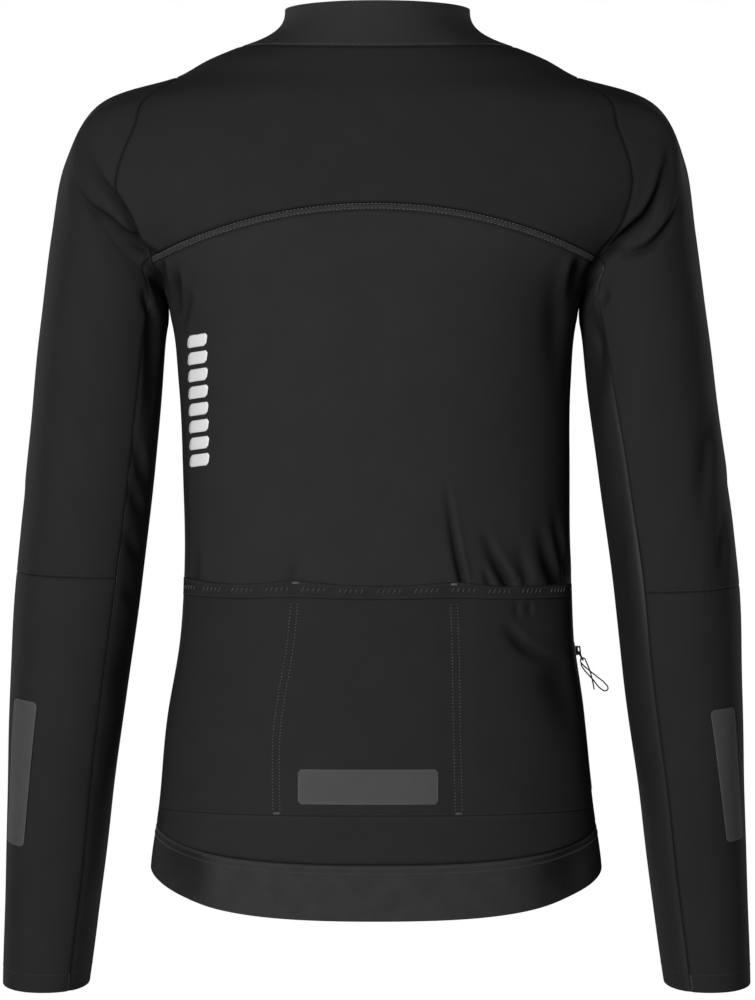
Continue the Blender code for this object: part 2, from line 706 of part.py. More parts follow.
def zip_rows(collar_end):
    """What the front zip runs over, from the hem to a height on the collar."""
    rows = [(HEM_LEVEL, HEM_TILT), ((HEM_LEVEL + HEM_SEAM_LEVEL) / 2, (HEM_TILT + HEM_SEAM_TILT) / 2),
            (HEM_SEAM_LEVEL, HEM_SEAM_TILT)]
    rows += [(level, 0.0) for level in reversed(SIDE_LEVELS)]
    steps = UNDER_STEPS + SHOULDER_SEAM_STEP
    bottom = ARMPIT_DIPS[0].spine_level
    rows += [(bottom + (NECK_LEVEL - bottom) * k / steps, 0.0) for k in range(steps + 1)]
    heights = [k / COLLAR_ROWS for k in range(1, COLLAR_ROWS) if k / COLLAR_ROWS < collar_end]
    return rows + [("collar", height) for height in heights + [collar_end]]


def front_point(x, row):
    """A point of the front or the collar at x from the middle."""
    if row[0] == "collar":
        point = collar_point(collar_front_turn(abs(x), row[1]), row[1])
    else:
        turn = front_turn(abs(x), row[0])
        point = torso_point(turn, tilted_level(turn, row[0], row[1]))
    return Vector((math.copysign(point.x, x), point.y, point.z))


# ---------------------------------------------------------------- grids of the sleeves

def sleeve_grid(angles_at, stations):
    return [[sleeve_point(angle, station) for angle in angles_at(station)] for station in stations]


def sleeve_grids(side):
    """The three cloth pieces of one sleeve: upper arm, forearm and the long underarm panel."""
    def outer(station):
        share = underarm_turn(station, side) / UNDERARM
        return [angle * share for angle in ARM_STEPS["upper"]]

    def under(station):
        edge = underarm_turn(station, side)
        share = (math.pi - edge) / (math.pi - UNDERARM)
        behind = [math.pi + (angle - math.pi) * share for angle in ARM_STEPS["under_back"]]
        before = [math.pi + (2 * math.pi + angle - math.pi) * share for angle in ARM_STEPS["under_front"][1:]]
        return behind + before

    grids = {
        "upper": sleeve_grid(outer, UPPER_STATIONS[side]),
        "forearm": sleeve_grid(outer, FORE_STATIONS[side]),
        "under": sleeve_grid(under, UPPER_STATIONS[side] + FORE_STATIONS[side][1:]),
    }
    if side == "left":
        grids = {name: mirrored(grid) for name, grid in grids.items()}
    return grids


# ---------------------------------------------------------------- the jacket

for old in list(bpy.data.objects):
    bpy.data.objects.remove(old)
JACKET = bpy.data.collections.new("softshell_jacket")
bpy.context.scene.collection.children.link(JACKET)

ARM_STEPS = {
    "upper": evenly(armhole_point, -UNDERARM, UNDERARM, UPPER_STEPS),
    "under_back": evenly(armhole_point, UNDERARM, math.pi, UNDER_STEPS),
    "under_front": evenly(armhole_point, -math.pi, -UNDERARM, UNDER_STEPS),
}

MATERIALS = {
    "softshell": finish("softshell", (0.024, 0.024, 0.025), 0.80),
    "stretch": finish("stretch", (0.016, 0.016, 0.017), 0.50),
    "elastic": finish("elastic", (0.030, 0.030, 0.030), 0.85),
    "film": finish("film", (0.075, 0.075, 0.075), 0.45),
    "zip_tape": finish("zip_tape", (0.015, 0.015, 0.015), 0.85),
    "zip_plastic": finish("zip_plastic", (0.012, 0.012, 0.012), 0.35),
    "zip_metal": finish("zip_metal", (0.020, 0.020, 0.020), 0.30, 0.6),
    "cord": finish("cord", (0.015, 0.015, 0.015), 0.70),
}

PANELS = {
    "back_yoke": yoke_grid(),
    "back_lower": lower_back_grid(),
    "front_right": front_grid(),
    "collar": collar_grid(),
}
PANELS["front_left"] = mirrored(PANELS["front_right"])
PANELS["hem_band"] = hem_grid(PANELS["front_right"], PANELS["back_lower"])
for side in ("left", "right"):
    for piece, grid in sleeve_grids(side).items():
        PANELS[f"sleeve_{piece}_{side}"] = grid
PANELS = {name: swayed(grid) for name, grid in PANELS.items()}
NORMALS = normals_of(PANELS.values())
for name, grid in PANELS.items():
    slot = "elastic" if name == "hem_band" else "stretch" if "under" in name else "softshell"
    wall(name, grid, NORMALS, SHELL, MATERIALS[slot])

# The three back pockets are one panel, open at the top, with an elastic binding along that edge.
BACK = PANELS["back_lower"]
BACK_ROW = {level: row + 1 for row, level in enumerate(reversed(SIDE_LEVELS))}
pocket = BACK[BACK_ROW[POCKET_BOTTOM]:BACK_ROW[POCKET_TOP] + 1]
binding = BACK[BACK_ROW[BINDING_BOTTOM]:BACK_ROW[POCKET_TOP] + 1]
on_pocket = SEAM_GAP + POCKET_CLOTH
wall("pocket_panel", pocket, NORMALS, POCKET_CLOTH, MATERIALS["softshell"], on_pocket)
wall("pocket_binding", binding, NORMALS, ELASTIC, MATERIALS["elastic"], on_pocket + SEAM_GAP + ELASTIC)


def back_strip_columns(row):
    """The places of the strip's columns among the back's columns."""
    ends = []
    for x in (BACK_STRIP["left"], BACK_STRIP["right"]):
        turn = back_turn(x, BACK_STRIP["bottom"])
        ends.append((turn / SIDE_SEAM_TURN + 1) * BACK_COLUMNS / 2)
    return steps_between(*ends)


strip, strip_normals = laid_patch(BACK, NORMALS, back_strip_columns,
                                  [BACK_ROW[BACK_STRIP["bottom"]], BACK_ROW[BACK_STRIP["top"]]])
wall("strip_back", strip, strip_normals, FILM, MATERIALS["film"], on_pocket + SEAM_GAP + FILM, 0)

for side in ("left", "right"):
    low, high = [end for end in SLEEVE_STRIPS if end.side == side]
    forearm = PANELS[f"sleeve_forearm_{side}"]

    def sleeve_strip_columns(row, side=side, low=low, high=high):
        station = row_station(row)
        share = (station - low.station) / (high.station - low.station)
        places = []
        for start, end in ((low.outer_turn, high.outer_turn), (low.inner_turn, high.inner_turn)):
            turn = math.radians(start + (end - start) * share)
            turn *= UNDERARM / underarm_turn(station, side)
            place = place_of(turn, ARM_STEPS["upper"])
            places.append(place if side == "right" else UPPER_STEPS - place)
        places.sort()
        return [places[0] + (places[1] - places[0]) * k / STRIP_COLUMNS for k in range(STRIP_COLUMNS + 1)]

    def row_station(row, stops=FORE_STATIONS[side]):
        at = min(int(row), len(stops) - 2)
        return stops[at] + (stops[at + 1] - stops[at]) * (row - at)

    start, end = (place_of(strip_end.station, FORE_STATIONS[side]) for strip_end in (low, high))
    rows = [start + (end - start) * k / STRIP_ROWS for k in range(STRIP_ROWS + 1)]
    strip, strip_normals = laid_patch(forearm, NORMALS, sleeve_strip_columns, rows)
    out = SEAM_GAP + STRIP_LIFT + FILM
    wall(f"strip_sleeve_{side}", strip, strip_normals, FILM, MATERIALS["film"], out, 0)

# The front zip: two tapes behind the fronts and the collar, and the closed chain between them.
out = -(SHELL + TAPE_BELOW)
right_tape = swayed([[front_point(x, row) for x in (TAPE_OUT, FRONT_EDGE, TAPE_IN)] for row in zip_rows(1.0)])
left_tape = swayed([[front_point(x, row) for x in (-TAPE_IN, -FRONT_EDGE, -TAPE_OUT)] for row in zip_rows(1.0)])
chain = swayed([[front_point(x, row) for x in (CHAIN_HALF, 0.0, -CHAIN_HALF)] for row in zip_rows(CHAIN_TOP)])
wall("zip_tape_right", right_tape, normals_of([right_tape]), TAPE_THICK, MATERIALS["zip_tape"], out)
wall("zip_tape_left", left_tape, normals_of([left_tape]), TAPE_THICK, MATERIALS["zip_tape"], out)
chain_out = out - TAPE_THICK / 2 + CHAIN_THICK / 2
wall("zip_chain", chain, normals_of([chain]), CHAIN_THICK, MATERIALS["zip_plastic"], chain_out, 0)

# The side pocket's zip: tape and chain on the right front.
FRONT = PANELS["front_right"]
turn_step = (front_turn(FRONT_EDGE, SIDE_SLIDER_LEVEL) - SIDE_SEAM_TURN) / FRONT_COLUMNS
levels_up = list(reversed(SIDE_LEVELS))
side_rows = steps_between(1 + place_of(SIDE_ZIP_BOTTOM, levels_up), 1 + place_of(SIDE_ZIP_TOP, levels_up))


def side_zip_columns(half):
    return lambda row: [SIDE_ZIP_COLUMN - half, SIDE_ZIP_COLUMN, SIDE_ZIP_COLUMN + half]


tape, tape_normals = laid_patch(FRONT, NORMALS, side_zip_columns(SIDE_TAPE_HALF), side_rows)
wall("side_zip_tape", tape, tape_normals, TAPE_THICK, MATERIALS["zip_tape"], SEAM_GAP + TAPE_THICK, 0)
chain, chain_normals = laid_patch(FRONT, NORMALS, side_zip_columns(SIDE_CHAIN_HALF), side_rows)
side_chain_out = 2 * SEAM_GAP + TAPE_THICK + SIDE_CHAIN_THICK
wall("side_zip_chain", chain, chain_normals, SIDE_CHAIN_THICK, MATERIALS["zip_plastic"], side_chain_out, 0)

# Sliders and tabs.  A slider's own frame has x across the zip, y out of the cloth and z up the zip.
CUTTERS = bpy.data.collections.new("cutters")
bpy.context.scene.collection.children.link(CUTTERS)


def frame_at(below, here, above, out):
    """The frame of a slider at here, moved out from the cloth."""
    up = (above - below).normalized()
    across = (Vector((here.x, here.y, 0)).cross(up)).normalized()
    outward = up.cross(across).normalized()
    return Matrix.Translation(here + outward * out) @ Matrix((across, outward, up)).transposed().to_4x4()


def box(name, low, high):
    """A helper box of a slider, in its own millimetres."""
    mesh = bpy.data.meshes.new(name)
    shape = bmesh.new()
    bmesh.ops.create_cube(shape, size=1)
    size = [(b - a) / 1000 for a, b in zip(low, high)]
    middle = [(a + b) / 2000 for a, b in zip(low, high)]
    bmesh.ops.scale(shape, vec=size, verts=shape.verts)
    bmesh.ops.translate(shape, vec=middle, verts=shape.verts)
    shape.to_mesh(mesh)
    shape.free()
    return mesh


def extruded(name, outlines, half, order):
    """A flat shape with holes, in millimetres, drawn as a 2D curve and extruded to both sides."""
    curve = bpy.data.curves.new(name, "CURVE")
    curve.dimensions = "2D"
    curve.fill_mode = "BOTH"
    curve.extrude = half / 1000
    for outline in outlines:
        spline = curve.splines.new("POLY")
        spline.points.add(len(outline) - 1)
        for point, (a, b) in zip(spline.points, outline):
            point.co = (a / 1000, b / 1000, 0, 1)
        spline.use_cyclic_u = True
    holder = bpy.data.objects.new(name, curve)
    CUTTERS.objects.link(holder)
    bpy.context.view_layer.update()
    graph = bpy.context.evaluated_depsgraph_get()
    mesh = bpy.data.meshes.new_from_object(holder.evaluated_get(graph))
    mesh.materials.clear()
    bpy.data.objects.remove(holder)
    shape = bmesh.new()
    shape.from_mesh(mesh)
    bmesh.ops.remove_doubles(shape, verts=shape.verts, dist=0.00001)
    for vertex in shape.verts:
        vertex.co = [vertex.co[k] for k in order]
    bmesh.ops.recalc_face_normals(shape, faces=shape.faces)
    shape.to_mesh(mesh)
    shape.free()
    return mesh


def eased(part, width):
    bevel = part.modifiers.new("eased_edges", "BEVEL")
    bevel.width = width
    bevel.segments = 2
    bevel.limit_method = "ANGLE"


def make_slider(name, sizes, frame, reaches_back):
    """A slider's plate with its bridge; reaches_back adds the plate and the post behind the chain."""
    plate = box(name, (-sizes.half_width, sizes.plate_in, sizes.bottom),
                (sizes.half_width, sizes.plate_out, sizes.top))
    slider = add_part(name, plate, MATERIALS["zip_metal"])
    low, high, root = sizes.low_post, sizes.high_post, sizes.plate_out - 0.4
    under = sizes.bridge_out - BRIDGE_BAR
    arch = [(root, low), (sizes.bridge_out, low), (sizes.bridge_out, high + POST), (root, high + POST),
            (root, high), (under, high), (under, low + POST), (root, low + POST)]
    pieces = {"bridge": extruded(name + "_bridge", [arch], sizes.bridge_half, (2, 0, 1))}
    if reaches_back:
        behind = -CHAIN_THICK * 1000 - sizes.plate_in
        thick = sizes.plate_out - sizes.plate_in
        pieces["back"] = box(name + "_back", (-sizes.half_width, behind - thick, sizes.bottom),
                             (sizes.half_width, behind, sizes.top))
        pieces["post"] = box(name + "_post", (-1.6, behind - 0.4, 0.4), (1.6, sizes.plate_in + 0.4, sizes.top - 0.3))
    for label, mesh in pieces.items():
        piece = bpy.data.objects.new(f"{name}_{label}", mesh)
        CUTTERS.objects.link(piece)
        piece.hide_render = True
        piece.display_type = "WIRE"
        piece.matrix_world = frame
        union = slider.modifiers.new(label, "BOOLEAN")
        union.operation = "UNION"
        union.solver = "EXACT"
        union.object = piece
    eased(slider, 0.00025)
    slider.matrix_world = frame
    return slider


def hinge_of(sizes, frame, lift):
    """The frame of a tab's hinge, in the bridge's window and just above its lower post."""
    height = (sizes.plate_out + sizes.bridge_out - BRIDGE_BAR) / 2
    along = sizes.low_post + POST + 0.9
    return frame @ Matrix.Translation((0, height / 1000, along / 1000)) @ Matrix.Rotation(lift, 4, "X")


def make_tab(name, sizes, hinge):
    """A flat tab that hangs from its hinge: a frame of cross bars between two sides."""
    half, bars, window = sizes["half_width"], sizes["bars"], sizes["window"]
    top, bottom, corner = -bars[0].start, -bars[-1].end, 0.8
    outline = [(bottom, -half + corner), (bottom, half - corner), (bottom + corner, half), (top - 0.4, half),
               (top, half - 0.4), (top, -half + 0.4), (top - 0.4, -half), (bottom + corner, -half)]
    holes = [[(-low.start, -window), (-low.start, window), (-high.end, window), (-high.end, -window)]
             for high, low in zip(bars, bars[1:])]
    tab = add_part(name, extruded(name, [outline] + holes, TAB_THICK / 2, (1, 2, 0)), MATERIALS["zip_metal"])
    eased(tab, 0.0002)
    tab.matrix_world = hinge
    return tab


def swayed_point(point):
    return swayed([[point]])[0][0]


def collar_middle(height):
    return swayed_point(collar_point(math.pi, height))


def side_middle(level):
    zip_turn = SIDE_SEAM_TURN + SIDE_ZIP_COLUMN * turn_step
    return swayed_point(torso_point(zip_turn, level))


front_frame = frame_at(collar_middle(CHAIN_TOP - 0.02), collar_middle(CHAIN_TOP), collar_middle(CHAIN_TOP + 0.02),
                       chain_out)
make_slider("zip_slider", FRONT_SLIDER, front_frame, True)
front_hinge = hinge_of(FRONT_SLIDER, front_frame, 0)
make_tab("zip_pull", FRONT_TAB, front_hinge)

side_frame = frame_at(side_middle(SIDE_SLIDER_LEVEL - 0.004), side_middle(SIDE_SLIDER_LEVEL),
                      side_middle(SIDE_SLIDER_LEVEL + 0.004), side_chain_out)
make_slider("side_zip_slider", SIDE_SLIDER, side_frame, False)
side_hinge = hinge_of(SIDE_SLIDER, side_frame, SIDE_TAB_LIFT)
make_tab("side_zip_tab", SIDE_TAB, side_hinge)

# The cord is threaded through the side tab and turns with it.
rows = [CordPoint(*(value / 1000 for value in point)) for point in CORD]
along = [0.0]
for a, b in zip(rows, rows[1:]):
    along.append(along[-1] + (Vector(b) - Vector(a)).length)
Station = namedtuple("Station", "along across out up")
stations = [Station(length, *point) for length, point in zip(along, rows)]
curve = bpy.data.curves.new("side_pull_cord", "CURVE")
curve.dimensions = "3D"
curve.bevel_depth = CORD_DIAMETER / 2
curve.bevel_resolution = 2
curve.use_fill_caps = True
spline = curve.splines.new("POLY")
spline.points.add(CORD_POINTS - 1)
into_hinge = side_hinge.inverted() @ side_frame
for k, point in enumerate(spline.points):
    place = between(stations, along[-1] * k / (CORD_POINTS - 1))
    point.co = (*(into_hinge @ Vector((place.across, place.out, place.up))), 1)
cord = bpy.data.objects.new("side_pull_cord", curve)
curve.materials.append(MATERIALS["cord"])
JACKET.objects.link(cord)
cord.matrix_world = side_hinge
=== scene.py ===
"""The looks of a women's cycling softshell jacket: its cloth, folds, seams, stitching and zips.

The jacket stands open as if it were worn, with nobody in it.  The wearer looks along +Y, +X is the
wearer's right and +Z is up.  The origin lies between the shoulders, where a wearer carries it.
Lengths are in metres unless a table says millimetres.
"""

import math
from collections import namedtuple

import bpy
import numpy as np
from mathutils import Matrix, Vector


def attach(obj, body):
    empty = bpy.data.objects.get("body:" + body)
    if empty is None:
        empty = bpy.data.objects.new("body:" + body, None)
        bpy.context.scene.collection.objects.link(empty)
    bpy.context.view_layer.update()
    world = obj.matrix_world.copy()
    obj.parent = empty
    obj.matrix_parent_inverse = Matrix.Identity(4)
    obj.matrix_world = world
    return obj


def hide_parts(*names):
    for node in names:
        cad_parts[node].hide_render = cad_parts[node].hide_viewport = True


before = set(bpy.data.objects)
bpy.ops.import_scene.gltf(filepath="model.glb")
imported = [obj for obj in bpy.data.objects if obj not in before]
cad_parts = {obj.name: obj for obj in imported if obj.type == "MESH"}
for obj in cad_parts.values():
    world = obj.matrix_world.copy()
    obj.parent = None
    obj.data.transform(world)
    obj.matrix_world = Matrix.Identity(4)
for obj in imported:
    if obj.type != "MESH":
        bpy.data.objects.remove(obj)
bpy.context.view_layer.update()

# ---------------------------------------------------------------- stage, lights and camera
# A pale studio: a floor far below the hanging jacket that sweeps up into a round wall, big soft
# lamps, and a camera straight behind the wearer's back at the height of the jacket's middle.

CAMERA_DISTANCE = 3.0
CAMERA_LEVEL = -0.3375
VIEW_HEIGHT = 0.75
FILM_HEIGHT = 36.0  # millimetres

camera_data = bpy.data.cameras.new("camera")
camera_data.sensor_width = FILM_HEIGHT
camera_data.lens = FILM_HEIGHT * CAMERA_DISTANCE / VIEW_HEIGHT
camera_data.clip_end = 60
camera = bpy.data.objects.new("camera", camera_data)
camera.location = (0, -CAMERA_DISTANCE, CAMERA_LEVEL)
camera.rotation_euler = (math.radians(90), 0, 0)
bpy.context.scene.collection.objects.link(camera)
bpy.context.scene.camera = camera
bpy.context.scene.view_settings.view_transform = "Standard"

FLOOR_LEVEL = -5.0
FLOOR_RADIUS = 7.0
SWEEP_RADIUS = 2.5
SWEEP_STEPS = 8
WALL_TOP = 9.0
WALL_SIDES = 64


def make_studio():
    """The floor, its sweep and the wall, turned about the vertical axis."""
    profile = [(0.02, FLOOR_LEVEL), (FLOOR_RADIUS, FLOOR_LEVEL)]
    for step in range(1, SWEEP_STEPS + 1):
        angle = math.pi / 2 * step / SWEEP_STEPS
        profile.append((FLOOR_RADIUS + SWEEP_RADIUS * math.sin(angle),
                        FLOOR_LEVEL + SWEEP_RADIUS * (1 - math.cos(angle))))
    profile.append((FLOOR_RADIUS + SWEEP_RADIUS, WALL_TOP))
    turns = [2 * math.pi * k / WALL_SIDES for k in range(WALL_SIDES)]
    points = [(r * math.cos(turn), r * math.sin(turn), z) for r, z in profile for turn in turns]
    faces = []
    for row in range(len(profile) - 1):
        for k in range(WALL_SIDES):
            low, after = row * WALL_SIDES, (k + 1) % WALL_SIDES
            faces.append((low + k, low + after, low + WALL_SIDES + after, low + WALL_SIDES + k))
    mesh = bpy.data.meshes.new("studio_floor")
    mesh.from_pydata(points, [], faces)
    mesh.shade_smooth()
    floor = bpy.data.objects.new("studio_floor", mesh)
    bpy.context.scene.collection.objects.link(floor)
    material = bpy.data.materials.new("studio_paint")
    material.use_nodes = True
    tree = material.node_tree
    shader = tree.nodes["Principled BSDF"]
    shader.inputs["Base Color"].default_value = (0.30, 0.30, 0.30, 1)
    shader.inputs["Roughness"].default_value = 0.9
    glow = tree.nodes.new("ShaderNodeEmission")
    glow.inputs["Color"].default_value = (1, 1, 1, 1)
    mixed = tree.nodes.new("ShaderNodeMixShader")
    seen_straight = tree.nodes.new("ShaderNodeLightPath")
    tree.links.new(seen_straight.outputs["Is Camera Ray"], mixed.inputs["Fac"])
    tree.links.new(shader.outputs["BSDF"], mixed.inputs[1])
    tree.links.new(glow.outputs["Emission"], mixed.inputs[2])
    tree.links.new(mixed.outputs["Shader"], tree.nodes["Material Output"].inputs["Surface"])
    mesh.materials.append(material)


def make_lamp(name, place, aim, size, power, sheen=True):
    """A square soft lamp; without sheen it shows in no gloss."""
    data = bpy.data.lights.new(name, "AREA")
    data.shape = "RECTANGLE"
    data.size = data.size_y = size
    data.energy = power
    lamp = bpy.data.objects.new(name, data)
    lamp.location = place
    lamp.rotation_euler = (Vector(aim) - Vector(place)).to_track_quat("-Z", "Y").to_euler()
    lamp.visible_glossy = sheen
    bpy.context.scene.collection.objects.link(lamp)


make_studio()
make_lamp("key_lamp", (-1.7, -3.9, -0.1), (0, 0, -0.35), size=1.4, power=158)
make_lamp("fill_lamp", (1.2, -4.2, 0.6), (0, 0, -0.35), size=1.6, power=18)
make_lamp("front_lamp", (0, 4.4, 0.1), (0, 0, -0.3), size=0.9, power=95, sheen=False)
make_lamp("right_lamp", (3.2, 3.0, 0.2), (0, 0, -0.3), size=1.0, power=50)
make_lamp("left_lamp", (-3.2, 3.0, 0.2), (0, 0, -0.3), size=1.0, power=50)
world = bpy.data.worlds.new("studio_light")
world.use_nodes = True
world.node_tree.nodes["Background"].inputs["Color"].default_value = (1, 1, 1, 1)
world.node_tree.nodes["Background"].inputs["Strength"].default_value = 0.06
bpy.context.scene.world = world

# ---------------------------------------------------------------- lower back
# A panel of black woven softshell with a brushed inside.  It runs from the hem elastic up to the
# arched seam of the yoke, and is overlocked to the fronts at the sides.

CELL = 0.0034  # the distance between two points of a grid of cloth
FINE_CELL = 0.0019  # the same where the cloth is creased
EDGE_STOPS = (0.2, 0.5)  # two more points within the last cell at an edge
SHELL = 0.0015
SEAM_GAP = 0.0004

NECK_LEVEL = 0.0015
ARMPIT_LEVEL = -0.184
HEM_SEAM_LEVEL = -0.585
HEM_SEAM_TILT = 0.146
HEM_SEAM_LIFT = 0.007
YOKE_CENTRE_LEVEL = -0.122
YOKE_ARCH = 2.0
ARCH_ROUNDS = 6
POCKET_TOP = -0.397
BINDING_BOTTOM = -0.409
POCKET_BOTTOM = -0.5665
SIDE_SEAM_TURN = math.radians(76)
FRONT_NECK_DROP = 0.072
FRONT_DROP_STARTS = -0.240
BACK_NECK_DIP = 0.007
BACK_DIP_STARTS = -0.050
ARMHOLE_TOP = -0.021
ARMHOLE_BACK = 0.071
ARMHOLE_FRONT = 0.075
ARMHOLE_SQUARE = 2.5
ARMHOLE_SAMPLES = 640
UNDERARM = math.radians(130)

TorsoSection = namedtuple("TorsoSection", "level half_width back front square")
TORSO = [TorsoSection(*row) for row in (
    (-0.660, 0.1710, 0.117, 0.112, 2.25),
    (-0.607, 0.1684, 0.112, 0.110, 2.25),
    (-0.570, 0.1635, 0.108, 0.108, 2.25),
    (-0.495, 0.1556, 0.099, 0.101, 2.25),
    (-0.439, 0.1472, 0.092, 0.097, 2.25),
    (-0.382, 0.1448, 0.091, 0.096, 2.25),
    (-0.307, 0.1448, 0.099, 0.101, 2.25),
    (-0.251, 0.1466, 0.107, 0.109, 2.30),
    (-0.205, 0.1515, 0.112, 0.114, 2.35),
    (-0.184, 0.1575, 0.113, 0.115, 2.40),
    (-0.160, 0.1800, 0.112, 0.114, 2.45),
    (-0.130, 0.2160, 0.109, 0.112, 2.45),
    (-0.101, 0.2330, 0.105, 0.108, 2.40),
    (-0.064, 0.2260, 0.098, 0.102, 2.25),
    (-0.042, 0.2090, 0.092, 0.097, 2.10),
    (-0.021, 0.1500, 0.084, 0.091, 2.00),
    (-0.0075, 0.1250, 0.079, 0.087, 2.00),
    (0.0015, 0.1030, 0.075, 0.084, 2.00),
)]

# The jacket sits a little askew: how far each level is shifted towards the wearer's right.
Sway = namedtuple("Sway", "level shift")
SWAY = [Sway(*row) for row in (
    (-0.720, -0.0005),
    (-0.600, -0.0010),
    (-0.480, -0.0010),
    (-0.400, 0.0002),
    (-0.320, -0.0008),
    (-0.230, -0.0024),
    (-0.110, -0.0024),
    (-0.030, -0.0003),
    (0.040, 0.0000),
)]

# Above the armpit the rows of the back's grid drop away from the armhole before they cross the back.
Dip = namedtuple("Dip", "step spine_level arch")
ARMPIT_DIPS = [Dip(0, -0.214, 8), Dip(1, -0.194, 6), Dip(2, -0.165, 4), Dip(3, YOKE_CENTRE_LEVEL, YOKE_ARCH)]

